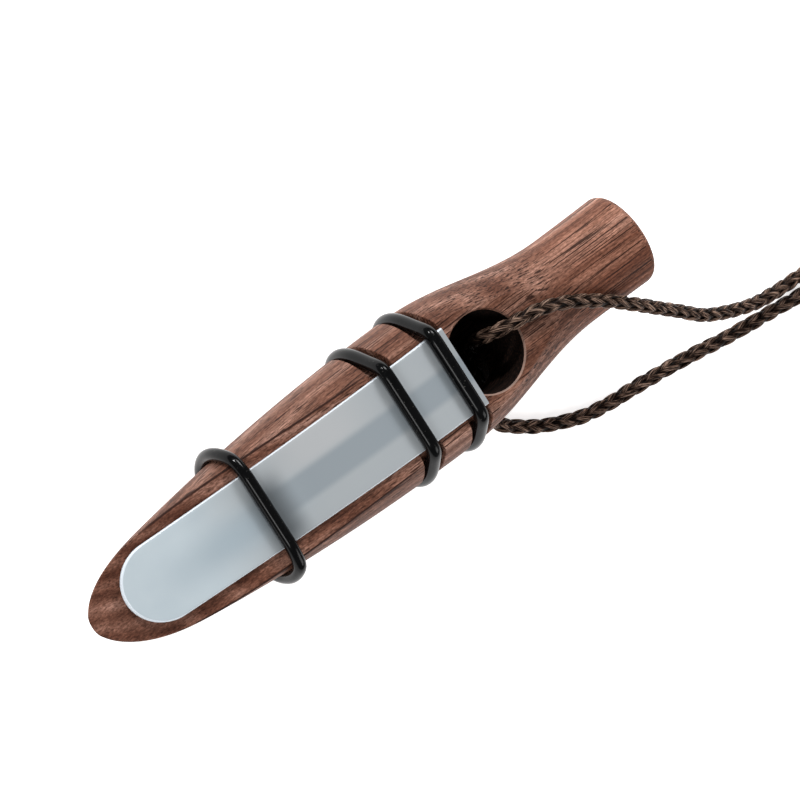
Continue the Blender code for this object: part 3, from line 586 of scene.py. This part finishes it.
def reed_grid(across=22, edge=6):
    """One row for each station of the outline: underside, upright edge, a quarter round and the top. The quarter round
    steps inwards square to the outline, so that it has the same width round the tip."""
    tip_radius = REED_TIP_WIDTH / 2
    station = np.concatenate([
        REED_TIP + tip_radius * (1 - np.cos(np.linspace(0.0, np.pi / 2, 40))),
        np.linspace(REED_TIP + tip_radius, REED_REAR, 110)[1:],
    ])
    half = reed_half_width(station)
    slope_x, slope_y = np.gradient(station), np.gradient(half)
    long = np.hypot(slope_x, slope_y)
    out_x, out_y = -slope_y / long, slope_x / long
    out_x[0], out_y[0] = -1.0, 0.0
    turn = np.linspace(0, np.pi / 2, edge)[None]
    inset = REED_EDGE * (1 - np.cos(turn))
    rise = REED_THICKNESS - REED_EDGE * 0.8 * (1 - np.sin(turn))
    edge_s = station[:, None] - inset * out_x[:, None]
    edge_y = half[:, None] - inset * out_y[:, None]
    span = np.linspace(-1, 1, across)[None, 1:-1]
    low_s = np.broadcast_to(station[:, None], (len(station), across - 2))
    top_s = np.broadcast_to(edge_s[:, -1:], low_s.shape)
    s = np.concatenate([low_s, station[:, None], edge_s, top_s, edge_s[:, ::-1], station[:, None]], axis=1)
    y = np.concatenate([half[:, None] * span, half[:, None], edge_y, -edge_y[:, -1:] * span, -edge_y[:, ::-1],
                        -half[:, None]], axis=1)
    up = np.concatenate([np.zeros(low_s.shape), np.zeros((len(station), 1)), np.broadcast_to(rise, edge_s.shape),
                         np.full(top_s.shape, REED_THICKNESS), np.broadcast_to(rise[:, ::-1], edge_s.shape),
                         np.zeros((len(station), 1))], axis=1)
    return np.stack([TIP_X + s, REED_SIDE + y, AXIS_HEIGHT + reed_underside(s) + up], axis=-1)


def milky_plastic():
    """Milky sheet: bluish white with faint clouds; warmer over the wood, with a paler part beside the air channel and a
    cloudy part near the tip; cooler and a little darker over the channel; grey where the sheet bears on the bed behind
    the tuning ring, and bright along its polished edge."""
    make, ramp, blend, math, ease, marked, finish = new_material("milky_plastic")
    place = make("ShaderNodeTexCoord", {}).outputs["Object"]
    x, y, _ = make("ShaderNodeSeparateXYZ", {0: place}).outputs

    def between(value, low, high, soft):
        return math("MULTIPLY", ease(value, low - soft, low + soft), ease(value, high - soft, high + soft, 1.0, 0.0))

    def lengthwise(front, rear, soft):
        return between(x, TIP_X + front, TIP_X + rear, soft)

    cloud = make("ShaderNodeTexNoise", {"Vector": place, "Scale": 140.0, "Detail": 3.0}).outputs["Fac"]
    sheet = ramp(cloud, (0.3, (0.490, 0.565, 0.612)), (0.7, (0.530, 0.602, 0.642)))
    over_wood = lengthwise(26 * MM, 90 * MM, 9 * MM)
    paler = math("MULTIPLY", lengthwise(38 * MM, 54 * MM, 6 * MM), between(y, 2.6 * MM, 20 * MM, 1.2 * MM))
    cloudy = math("MULTIPLY", lengthwise(17 * MM, 36 * MM, 9 * MM), between(y, -3.2 * MM, 2.4 * MM, 2.6 * MM))
    over_channel = math("MULTIPLY", lengthwise(33 * MM, 90 * MM, 9 * MM),
                        between(y, -CHANNEL_HALF, CHANNEL_HALF, 0.7 * MM))
    bears = math("MULTIPLY", lengthwise(31.5 * MM, 36.8 * MM, 2.2 * MM), between(y, -7.0 * MM, 4.6 * MM, 3.0 * MM))
    for where, share, tint in (
        (over_wood, 0.75, (0.335, 0.349, 0.360, 1.0)), (paler, 0.70, (0.465, 0.474, 0.484, 1.0)),
        (cloudy, 0.90, (0.365, 0.437, 0.486, 1.0)), (over_channel, 0.80, (0.258, 0.297, 0.327, 1.0)),
        (bears, 0.92, (0.105, 0.118, 0.127, 1.0)), (marked("edge"), 0.85, (0.80, 0.87, 0.94, 1.0)),
    ):
        sheet = blend(math("MULTIPLY", where, share), sheet, tint)
    return finish({"Base Color": sheet, "Roughness": 0.22, "Specular IOR Level": 0.45})


reed_mesh = grid_mesh("reed_strip", reed_grid(), wrap_columns=True, merge=1e-6)
upwards = per_face(reed_mesh, "normal")[:, 2]
mark(reed_mesh, "edge", (upwards < 0.90) & (upwards > -0.5))
reed_mesh.set_sharp_from_angle(angle=np.radians(50))
reed = add_piece("reed_strip", reed_mesh, milky_plastic())
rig.ride(reed, "reed")
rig.replaces(reed, "reed")
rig.slot(reed, "milky_plastic")


# Rings: three black rubber O-rings stretched round the body and over the reed. Two sit in the turned grooves and clamp
# the reed; the thinner front one lies on the wood and is slid along to tune the call.
CLAMP_SECTION, TUNING_SECTION, RING_LEAN = 2.5 * MM, 2.25 * MM, 0.25 * MM
CORNER_SINK, FLAT_REACH, CLAMP_FLAT, SQUASH_HEIGHT = 0.1 * MM, 0.25 * MM, 0.17 * MM, 11.25 * MM


def run_of(line):
    """Length from the start of a line of points to each of its points, along the line."""
    return np.concatenate([[0.0], np.cumsum(np.linalg.norm(np.diff(line, axis=0), axis=1))])


def at_lengths(line, lengths):
    """Points at the given lengths along a line of points."""
    return np.stack([np.interp(lengths, run_of(line), values) for values in line.T], axis=-1)


def ring_grid(station, section, seat_radius, flattened, turns=300, sides=24, passes=24):
    """Round section carried along a closed line. For each outward direction the line lies half a section beyond the
    furthest point of what the ring holds: the round wood below the bed, and the reed's two upper corners. Its points
    are then spaced evenly and averaged with their neighbours. The part over the reed is drawn back a little, as the
    square of its height over the axis, and its underside is flat there."""
    bed = bed_height(np.array(station))
    reed_top = reed_underside(np.array(station)) + REED_THICKNESS
    half = reed_half_width(np.array(station)) - CORNER_SINK
    normal = round_about(turns) + np.pi / turns
    out = np.stack([np.cos(normal), np.sin(normal)], axis=-1)
    side = np.where(out[:, 0] > 0, 1.0, -1.0)
    wood = seat_radius * out
    shoulder = np.sqrt(max(0.0, seat_radius**2 - bed**2))
    wood = np.where(wood[:, 1:] > bed, np.stack([side * shoulder, np.full(turns, bed)], -1), wood)
    corner = np.stack([REED_SIDE + side * half, np.full(turns, reed_top)], axis=-1)
    held = np.where(((wood * out).sum(1) >= (corner * out).sum(1))[:, None], wood, corner)
    middle = held + out * section / 2
    closed = np.concatenate([middle, middle[:1]])
    middle = at_lengths(closed, np.linspace(0.0, run_of(closed)[-1], turns, endpoint=False))
    for _ in range(passes):
        middle = (np.roll(middle, 1, axis=0) + 2 * middle + np.roll(middle, -1, axis=0)) / 4
    way = unit(np.roll(middle, -1, axis=0) - np.roll(middle, 1, axis=0))
    square = np.stack([way[:, 1], -way[:, 0]], axis=-1)
    angle = round_about(sides)
    drawn_back = RING_LEAN * np.clip(middle[:, 1:] / bed, 0.0, 1.2) ** 2
    x = TIP_X + station + drawn_back + section / 2 * np.sin(angle)[None]
    y = middle[:, :1] + square[:, :1] * section / 2 * np.cos(angle)
    z = AXIS_HEIGHT + middle[:, 1:] + square[:, 1:] * section / 2 * np.cos(angle)
    over_reed = (middle[:, 1:] > bed) & (np.abs(y - REED_SIDE) < half + FLAT_REACH)
    z = np.where(over_reed, np.maximum(z, AXIS_HEIGHT + reed_top + flattened), z)
    return np.stack([x, y, z], axis=-1)


def black_rubber():
    """Moulded rubber: near black, with a soft uneven gloss and fine dust-like specks."""
    make, ramp, blend, math, _, _, finish = new_material("black_rubber")
    place = make("ShaderNodeTexCoord", {}).outputs["Object"]
    skin = make("ShaderNodeTexNoise", {"Vector": place, "Scale": 900.0, "Detail": 4.0, "Roughness": 0.7}).outputs["Fac"]
    dust = make("ShaderNodeTexNoise", {"Vector": place, "Scale": 2600.0, "Detail": 1.0}).outputs["Fac"]
    colour = ramp(skin, (0.35, (0.0012, 0.0013, 0.0015)), (0.75, (0.0030, 0.0032, 0.0036)))
    specks = math("MULTIPLY", math("SUBTRACT", dust, 0.70), 9.0, clamp=True)
    colour = blend(math("MULTIPLY", specks, 0.35), colour, (0.16, 0.15, 0.14, 1.0))
    uneven = math("MULTIPLY_ADD", skin, 0.05, 0.12)
    return finish({"Base Color": colour, "Roughness": uneven, "Specular IOR Level": 0.15}, skin, 0.07)


rubber = black_rubber()
tuning_seat = float(turned_radius(np.array(TUNING_STATION)))
tuning_grid = ring_grid(TUNING_STATION, TUNING_SECTION, tuning_seat, 0.0)
tuning_ring = add_piece("tuning_o_ring", grid_mesh("tuning_o_ring", tuning_grid, True, True), rubber)
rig.ride(tuning_ring, "tuning_ring")
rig.replaces(tuning_ring, "tuning_ring")
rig.slot(tuning_ring, "black_rubber")
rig.squash(tuning_ring, "tuning_ring_slide", axis=(0.0, 0.0, 1.0),
          anchor=(TIP_X + TUNING_STATION, 0.0, SQUASH_HEIGHT), keep=0.90)
for clamp_name, clamp_node, clamp_station in (("middle_o_ring", "middle_clamp_ring", GROOVE_STATIONS[0]),
                                              ("rear_o_ring", "rear_clamp_ring", GROOVE_STATIONS[1])):
    clamp_grid = ring_grid(clamp_station, CLAMP_SECTION, GROOVE_RADIUS, CLAMP_FLAT)
    clamp = add_piece(clamp_name, grid_mesh(clamp_name, clamp_grid, True, True), rubber)
    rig.ride(clamp, "call")
    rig.replaces(clamp, clamp_node)
    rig.slot(clamp, "black_rubber")


# Lanyard: a 2.3 mm cord plaited from twelve dark brown yarns. One strand rises out of the sound hole and crosses the
# neck, the other comes out of the cord hole under it, and a knot joins them to the neck loop, which is wound in a coil.
CORD_DIAMETER, CORD_GAP, STRAND_SPACING = 2.3 * MM, 0.3 * MM, 2.9 * MM
YARNS_EACH_WAY, PLAIT_RIBS, PLAIT_LEAD, PLAIT_SNAP = 6, 6, 18.3 * MM, 1.5
YARN_WIDE, YARN_THICK, YARN_SWING, PLAIT_PROUD, CORE_RADIUS = 0.43 * MM, 0.34 * MM, 0.25 * MM, 0.18 * MM, 0.62 * MM
SWAY, SWAY_LENGTH, SINK, SINK_LENGTH = 0.10, 7.3 * MM, 0.035 * MM, 5.1 * MM
CREVICE_RADIUS, CREVICE_DEPTH, STRAND_STEP = 0.86 * MM, 0.44 * MM, 0.25 * MM
KNOT_FRONT, KNOT_LENGTH, KNOT_RADIUS = np.array((93.0, -27.45, 2.7)) * MM, 8.0 * MM, 3.7 * MM
STRAND_END = (KNOT_FRONT[0] - CORD_GAP) / MM
UPPER_SIDE, LOWER_SIDE = (KNOT_FRONT[1] + STRAND_SPACING * np.array((0.5, -0.5))) / MM
UPPER_ROUTE = np.array([
    (23.83, -1.30, 10.75), (23.82, -0.50, 11.30), (23.80, 0.75, 12.70), (23.80, 1.45, 15.10), (23.85, 1.70, 18.60),
    (25.30, 1.70, 22.15), (28.80, 1.35, 23.65), (32.80, 0.70, 23.75), (35.80, -0.20, 24.00), (38.90, -1.60, 23.65),
    (42.02, -3.48, 22.95), (45.25, -5.59, 21.80), (48.52, -8.00, 20.20), (51.87, -10.55, 18.30),
    (55.26, -13.18, 16.25), (58.73, -15.81, 14.10), (62.08, -18.58, 11.95), (65.92, -20.79, 9.80),
    (69.96, -22.56, 7.75), (74.05, -24.02, 5.85), (78.12, -24.92, 4.20), (82.10, -25.50, 2.90),
    (85.92, -25.82, 2.05), (STRAND_END - 2.3, UPPER_SIDE, 2.7), (STRAND_END, UPPER_SIDE, 2.7),
]) * MM
LOWER_ROUTE = np.array([
    (23.83, -1.65, 10.53), (23.87, -5.50, 8.09), (23.90, -9.40, 5.60), (24.50, -14.00, 2.95), (26.90, -16.55, 1.65),
    (30.95, -19.40, 1.20), (35.00, -21.30, 1.20), (39.30, -22.90, 1.20), (44.20, -23.75, 1.20),
    (49.40, -24.20, 1.20), (59.55, -25.35, 1.20), (69.40, -26.95, 1.20), (79.80, -28.20, 1.20),
    (84.90, -28.80, 1.30), (STRAND_END - 2.3, LOWER_SIDE, 2.7), (STRAND_END, LOWER_SIDE, 2.7),
]) * MM


def evenly(line, step):
    """Points at even steps along a line of points."""
    whole = run_of(line)[-1]
    return at_lengths(line, np.linspace(0.0, whole, max(3, round(whole / step) + 1)))


def smooth_route(route, step):
    """Even points on the cubic curve through the route's points whose slope at each is that of its neighbours."""
    knots = np.concatenate([2 * route[:1] - route[1:2], route, 2 * route[-1:] - route[-2:-1]])
    before, start, end, after = (knots[i:len(knots) - 3 + i, None] for i in range(4))
    t = np.linspace(0, 1, 24, endpoint=False)[None, :, None]
    curve = 0.5 * (2 * start + (end - before) * t + (2 * before - 5 * start + 4 * end - after) * t**2
                   + (3 * start - before - 3 * end + after) * t**3)
    return evenly(np.concatenate([curve.reshape(-1, 3), route[-1:]]), step)


def plait(line, reference, sides):
    """Twelve yarns wound round a line, six each way. A yarn's angle grows evenly along the line, one turn in a lead,
    with a slight sway, and its distance from the line swings in and out three times in that turn, so that it passes
    over two and under two of the yarns that run the other way. The places where it lies on top line up as six ribs
    along the cord, and the whole is turned on by one rib. Each yarn has an oval section that lies flat on the cord. A
    core fills the middle, and nothing goes below the table."""
    along = run_of(line)
    way = unit(np.gradient(line, axis=0))
    side = unit(np.cross(np.broadcast_to(reference, way.shape), way))
    up = np.cross(way, side)
    number = np.arange(2 * YARNS_EACH_WAY)[:, None]
    hand = np.where(number < YARNS_EACH_WAY, 1.0, -1.0)
    turn = 2 * np.pi * (hand * along / PLAIT_LEAD + number / YARNS_EACH_WAY)
    turn = turn + SWAY * np.sin(2 * np.pi * along / SWAY_LENGTH + 2.4 * number)
    swing = hand * np.tanh(PLAIT_SNAP * np.sin(PLAIT_RIBS / 2 * turn)) / np.tanh(PLAIT_SNAP)
    reach = CORD_DIAMETER / 2 + PLAIT_PROUD - YARN_THICK - YARN_SWING + YARN_SWING * swing
    reach = reach + SINK * (np.sin(2 * np.pi * along / SINK_LENGTH + 1.7 * number) - 1)
    turn = turn + 2 * np.pi / PLAIT_RIBS
    outward = np.cos(turn)[..., None] * side + np.sin(turn)[..., None] * up
    middle = line + reach[..., None] * outward
    flat = np.cross(unit(np.gradient(middle, axis=1)), outward)
    angle = round_about(sides)[:, None]
    oval = YARN_WIDE * np.cos(angle) * flat[:, :, None] + YARN_THICK * np.sin(angle) * outward[:, :, None]
    core = line[:, None] + CORE_RADIUS * (np.cos(angle) * side[:, None] + np.sin(angle) * up[:, None])
    points = np.concatenate([middle[:, :, None] + oval, core[None]])
    points[..., 2] = np.maximum(points[..., 2], 0.0)
    return points, along


def plait_mesh(name, line, reference, first, sides):
    """Mesh of a plait: the yarns' tubes with closed ends; a map whose first value is the length along the cord and
    whose second counts the yarn and the way round it; and a share that grows from the crevices to the top."""
    grids, along = plait(line, reference, sides)
    yarns, rows, columns = grids.shape[:3]
    index = np.arange(yarns * rows * columns).reshape(yarns, rows, columns)
    mesh = closed_mesh(name, grids, grid_faces(np.concatenate([index, index[:, :, :1]], axis=2)))
    corner = np.empty(len(mesh.loops), dtype=np.int64)
    mesh.loops.foreach_get("vertex_index", corner)
    yarn, rest = np.divmod(corner, rows * columns)
    row, column = np.divmod(rest, columns)
    uv = mesh.uv_layers.new(name="yarn")
    uv.data.foreach_set("uv", np.stack([(along[row] + first) / CORD_DIAMETER, yarn + column / columns], -1).ravel())
    off_line = np.linalg.norm(grids - line[None, :, None], axis=-1).ravel()
    mark(mesh, "outward", np.clip((off_line - CREVICE_RADIUS) / CREVICE_DEPTH, 0.0, 1.0), "POINT")
    return mesh


def braided_cord():
    """Plaited filament yarn: dark brown, with lighter filaments that run along each yarn and catch the light, and dark
    in the crevices. The first lengths of the strands, inside the burnt bore, are sooty."""
    make, ramp, blend, math, ease, marked, finish = new_material("braided_cord")
    place = make("ShaderNodeUVMap", {}, uv_map="yarn").outputs[0]
    spread = make("ShaderNodeMapping", {"Vector": place, "Scale": (0.5, 9.0, 1.0)}).outputs[0]
    filament = make("ShaderNodeTexNoise", {"Vector": spread, "Scale": 1.6, "Detail": 3.0, "Roughness": 0.7},
                    noise_dimensions="2D").outputs["Fac"]
    lot = make("ShaderNodeTexNoise", {"Vector": place, "Scale": 0.9, "Detail": 2.0}, noise_dimensions="2D")
    tone = math("MULTIPLY_ADD", filament, 0.88, math("MULTIPLY", lot.outputs["Fac"], 0.15))
    colour = ramp(tone, (0.40, (0.003, 0.0013, 0.0009)), (0.52, (0.036, 0.0192, 0.0130)), (0.64, (0.345, 0.225, 0.167)))
    crevice = ramp(marked("outward"), (0.10, (0.10, 0.08, 0.07)), (0.80, (1.0, 1.0, 1.0)))
    colour = blend(1.0, colour, crevice, "MULTIPLY")
    from_end = make("ShaderNodeSeparateXYZ", {0: place}).outputs[0]
    colour = blend(1.0, colour, ease(from_end, 3.6, 5.4, 0.12, 1.0), "MULTIPLY")
    return finish({"Base Color": colour, "Roughness": 0.36, "Specular IOR Level": 0.05}, filament, 0.6, 0.08 * MM)


cord_finish = braided_cord()


def cord_piece(name, line, reference, node, first=0.0, sides=10):
    """Plaited piece of the lanyard along a line, in the place of a CAD node of the call."""
    piece = add_piece(name, plait_mesh(name, line, reference, first, sides), cord_finish)
    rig.ride(piece, "call")
    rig.replaces(piece, node)
    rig.slot(piece, "braided_cord")
    return piece


INTO_KNOT = np.array(((1.0, 0.0, 0.0), (3.4, 0.0, 0.0))) * MM
upper_line = smooth_route(np.concatenate([UPPER_ROUTE, UPPER_ROUTE[-1] + INTO_KNOT]), STRAND_STEP)
lower_line = smooth_route(np.concatenate([LOWER_ROUTE, LOWER_ROUTE[-1] + INTO_KNOT]), STRAND_STEP)
upper_strand = cord_piece("upper_strand_plait", upper_line, (-0.40, 0.19, 0.90), "lanyard_upper_strand")
lower_strand = cord_piece("lower_strand_plait", lower_line, (-0.43, -0.11, 0.90), "lanyard_lower_strand")


# Neck loop: the rest of the same cord, put away beside the call. It runs from the knot round two flat layers, inwards
# below and outwards above, and back to the knot. The tie holds its turns.
COIL_DISTANCE, COIL_INNER, COIL_PITCH, COIL_WHOLE_TURNS = 27.0 * MM, 6.3 * MM, 2.8 * MM, 9
TIE_WIDTH, TIE_THICKNESS, SEAT_GAP = 4.0 * MM, 0.8 * MM, 0.25 * MM
COIL_STEP, PAST_SOOT = 0.60 * MM, 100 * MM
knot_rear = KNOT_FRONT + np.array((KNOT_LENGTH, 0.0, 0.0))
coil_centre = knot_rear + np.array((COIL_DISTANCE, 0.0, 0.0))


def coil_turns():
    """Turns of one layer: the whole turns of both layers, less the angle by which the two end tangents that meet at
    the knot fall short of a half turn, shared between the layers. Solved by repeating it until it settles."""
    turns = COIL_WHOLE_TURNS / 2
    for _ in range(30):
        turns = (COIL_WHOLE_TURNS + 0.5 - np.arccos((COIL_INNER + COIL_PITCH * turns) / COIL_DISTANCE) / np.pi) / 2
    return turns


def coil_route():
    """Neck loop from the knot round two layers and back: an even spiral inwards on the lower layer, a climb of one
    pitch over half a turn, and an even spiral outwards on the upper layer, with ends that ease into the knot."""
    per_layer = coil_turns()
    reversal = per_layer + 0.25
    turn = np.linspace(0, 2 * reversal, round(2 * reversal * 48) + 1)
    angle = np.pi - np.arccos((COIL_INNER + COIL_PITCH * per_layer) / COIL_DISTANCE) - 2 * np.pi * turn
    radius = COIL_INNER + COIL_PITCH * (np.abs(turn - reversal) - 0.25)
    climb = np.clip((turn - per_layer) / 0.5, 0, 1)
    z = TIE_THICKNESS + SEAT_GAP + CORD_DIAMETER / 2 + COIL_PITCH * climb**2 * (3 - 2 * climb)
    wound = np.stack([coil_centre[0] + radius * np.cos(angle), coil_centre[1] + radius * np.sin(angle), z], axis=-1)
    t = np.linspace(0, 1, 24)[1:-1, None]
    leads = []
    for side, end, inside in ((1, wound[0], wound[1]), (-1, wound[-1], wound[-2])):
        face = knot_rear + np.array((CORD_GAP, side * STRAND_SPACING / 2, 0.0))
        square = face + np.array((CORD_DIAMETER, 0.0, 0.0))
        far = np.linalg.norm(end - square)
        arrive = unit(inside - end)
        ease = (square * (2 * t**3 - 3 * t**2 + 1) + np.array((far, 0.0, 0.0)) * (t**3 - 2 * t**2 + t)
                + end * (3 * t**2 - 2 * t**3) + arrive * far * (t**3 - t**2))
        leads.append(np.concatenate([[face - INTO_KNOT[1], face, square], ease]))
    return np.concatenate([leads[0], wound, leads[1][::-1]])


coil_line = evenly(coil_route(), COIL_STEP)
coil = cord_piece("neck_loop_plait", coil_line, (0.0, 0.0, 1.0), "lanyard_coil", PAST_SOOT, sides=5)


# Knot: the same cord wrapped three times round both strands and drawn tight. Its ends are tucked under the wraps, and
# nothing else holds it.
KNOT_TURNS, KNOT_PITCH, KNOT_STEP, KNOT_EASE = 3, 2.36 * MM, 0.3 * MM, 0.02 * MM
TUCK_TURN, TUCK_SHARE, TUCK_SHIFT = 0.35, 0.45, 0.25 * MM


def knot_route():
    """Helix of three turns round the strands, one cord apart, whose ends run in to the middle."""
    turn = np.linspace(-TUCK_TURN, KNOT_TURNS + TUCK_TURN, 150)
    tuck = np.clip(np.maximum(-turn, turn - KNOT_TURNS) / TUCK_TURN, 0, 1)
    radius = (KNOT_RADIUS - CORD_DIAMETER / 2 - KNOT_EASE) * (1 - TUCK_SHARE * tuck**2)
    x = KNOT_FRONT[0] + KNOT_LENGTH / 2 + (np.clip(turn, 0, KNOT_TURNS) - KNOT_TURNS / 2) * KNOT_PITCH
    x = x - np.sign(KNOT_TURNS / 2 - turn) * TUCK_SHIFT * tuck
    angle = 2 * np.pi * turn
    return np.stack([x, KNOT_FRONT[1] + radius * np.cos(angle), KNOT_RADIUS + radius * np.sin(angle)], axis=-1)


knot_line = evenly(knot_route(), KNOT_STEP)
knot = cord_piece("wrapped_knot", knot_line, (1.0, 0.0, 0.0), "lanyard_knot", PAST_SOOT)


# Tie: a strip of black nylon hook-and-loop tape, cut to length and wrapped once round the turns of the coil. Its end
# is lapped over its start on top and grips it.
TIE_CLEAR, TIE_EYE_ROOM, TIE_BEND, TIE_STEP = 1.45 * MM, 0.32 * MM, 1.0 * MM, 0.25 * MM
LAP_START, LAP_OVER, LAP_END, LAP_GAP, LAP_RISE = 3.0 * MM, 4.6 * MM, 9.5 * MM, 0.1 * MM, 0.75 * MM


def tie_route():
    """Line of the tape, across and up: a rectangle with rounded corners that clears the turns of the coil, from a
    start on its top until the end rides over that start."""
    near = np.hypot(coil_line[:, 0] - coil_centre[0], coil_line[:, 1] - coil_centre[1])
    held = np.abs(coil_line[:, 1] - coil_centre[1]) < TIE_WIDTH / 2 + CORD_DIAMETER
    held = held & (coil_line[:, 0] > coil_centre[0])
    left = coil_centre[0] + near[held].min() - TIE_CLEAR - TIE_EYE_ROOM
    right = coil_centre[0] + near[held].max() + TIE_CLEAR
    top = coil_line[held, 2].max() + TIE_CLEAR
    bend_left, bend_right = left + TIE_BEND, right - TIE_BEND
    bend_low, bend_high = TIE_THICKNESS + TIE_BEND, top - TIE_BEND
    corners = ((bend_right, bend_high, np.pi / 2), (bend_right, bend_low, 0.0), (bend_left, bend_low, -np.pi / 2),
               (bend_left, bend_high, -np.pi))
    quarter = np.linspace(0, np.pi / 2, 8)
    loop = [np.stack([x + TIE_BEND * np.cos(start - quarter), z + TIE_BEND * np.sin(start - quarter)], axis=-1)
            for x, z, start in corners]
    lap = [(left + LAP_START, top + LAP_GAP), (left + LAP_OVER, top + LAP_RISE), (left + LAP_END, top + LAP_RISE)]
    return np.concatenate([[(left + LAP_START, top)], *loop, lap])


def strip_mesh(name, route, side_power=0.35, face_power=0.6):
    """Tape carried along a route across and up: a rounded oblong section square to the route."""
    line = evenly(np.stack([route[:, 0], np.zeros(len(route)), route[:, 1]], axis=-1), TIE_STEP)
    way = unit(np.gradient(line, axis=0))
    out = np.stack([-way[:, 2], np.zeros(len(way)), way[:, 0]], axis=-1)
    turn = round_about(28)
    wide = np.sign(np.cos(turn)) * np.abs(np.cos(turn)) ** side_power * TIE_WIDTH / 2
    thick = (np.sign(np.sin(turn)) * np.abs(np.sin(turn)) ** face_power + 1) * TIE_THICKNESS / 2
    points = line[:, None] + out[:, None] * thick[None, :, None]
    points[..., 1] += coil_centre[1] + wide
    return grid_mesh(name, points, wrap_columns=True)


def tie_tape():
    """Black nylon tape: a fine crossed weave with a dull sheen."""
    make, ramp, _, _, _, _, finish = new_material("tie_tape")
    place = make("ShaderNodeTexCoord", {}).outputs["Object"]
    weave = make("ShaderNodeTexVoronoi", {"Vector": place, "Scale": 2600.0}).outputs["Distance"]
    colour = ramp(weave, (0.1, (0.020, 0.020, 0.021)), (0.8, (0.004, 0.004, 0.005)))
    return finish({"Base Color": colour, "Roughness": 0.7, "Sheen Weight": 0.04, "Specular IOR Level": 0.2},
                  weave, 0.5, invert=True)


tie = add_piece("coil_tape", strip_mesh("coil_tape", tie_route()), tie_tape())
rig.ride(tie, "call")
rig.replaces(tie, "coil_tie")
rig.slot(tie, "tie_wrap")
for strand, line, lay, beside in (
    (upper_strand, upper_line, "loose", [knot]), (lower_strand, lower_line, "loose", [knot]),
    (coil, coil_line, "coiled", [tie, knot]),
):
    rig.cord(strand, exit=line[0], length=float(run_of(line)[-1]), diameter=CORD_DIAMETER, far_end="knot",
            stiffness="limp", lay=lay, path=line, with_pieces=beside)


# Table: a plain pale sheet that glows a little, in a white room. Four lamps light the call: a small key and a wider
# rear lamp from the side away from the lanyard, a front lamp from the tip, and a wide fill from the lanyard's side.
TABLE_SIDES, TABLE_TOP, TABLE_GLOW, ROOM_LIGHT, WHITE = (-3.0, 3.0), -0.1 * MM, 0.74, 0.24, (1.0, 1.0, 1.0, 1.0)
table_grid = np.stack(np.meshgrid(TABLE_SIDES, TABLE_SIDES, (TABLE_TOP,), indexing="ij"), axis=-1)[:, :, 0]
*_, finish_table = new_material("pale_table")
table_finish = finish_table({"Base Color": (0.92, 0.92, 0.92, 1.0), "Roughness": 0.9, "Specular IOR Level": 0.1,
                             "Emission Color": WHITE, "Emission Strength": TABLE_GLOW})
table = add_piece("table", grid_mesh("table", table_grid), table_finish)
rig.stage(table)

room = bpy.data.worlds.new("white_room")
room.use_nodes = True
room_light = room.node_tree.nodes["Background"].inputs
room_light["Color"].default_value, room_light["Strength"].default_value = WHITE, ROOM_LIGHT
bpy.context.scene.world = room


def soft_lamp(name, towards, size, power, distance=1.0):
    """Square lamp at a distance in one direction, facing the middle of the call."""
    lamp = bpy.data.lights.new(name, "AREA")
    lamp.size, lamp.energy = size, power
    holder = bpy.data.objects.new(name, lamp)
    bpy.context.scene.collection.objects.link(holder)
    direction = unit(np.array(towards))
    side = unit(np.cross((0.0, 0.0, 1.0), direction))
    turn = np.eye(4)
    turn[:3] = np.stack([side, np.cross(direction, side), direction, direction * distance], axis=-1)
    holder.matrix_world = Matrix(turn.tolist())


soft_lamp("key_lamp", (-0.12, 0.78, 0.61), 0.06, 3.6)
soft_lamp("rear_lamp", (0.47, 0.60, 0.64), 0.3, 5.2)
soft_lamp("front_lamp", (-0.70, -0.18, 0.69), 0.3, 2.1)
soft_lamp("fill_lamp", (0.35, -0.75, 0.55), 0.5, 3.2)


# Camera: a long lens above the tip, on the side away from the lanyard, as the photograph was taken. It looks down on
# the reed, and the call lies across the picture from corner to corner.
CAMERA_PLACE, SENSOR, LENS = (-0.5570, 0.2686, 1.3904), 36.0, 413.8
back = unit(np.array((-0.3735, 0.1773, 0.9105)))
right = np.array((0.7428, -0.5308, 0.4080))
right = unit(right - back * (right @ back))
eye = np.eye(4)
eye[:3] = np.stack([right, np.cross(back, right), back, CAMERA_PLACE], axis=-1)
camera = bpy.data.cameras.new("camera")
camera.sensor_width, camera.lens, camera.clip_start, camera.clip_end = SENSOR, LENS, 0.05, 20.0
camera_holder = bpy.data.objects.new("camera", camera)
camera_holder.matrix_world = Matrix(eye.tolist())
bpy.context.scene.collection.objects.link(camera_holder)
bpy.context.scene.camera = camera_holder
bpy.context.scene.view_settings.view_transform = "Standard"

seen_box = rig.bounds()
with open("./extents.json", "w") as size_file:
    json.dump({"cad": [list(corner) for corner in cad_box], "visual": [list(corner) for corner in seen_box]}, size_file)
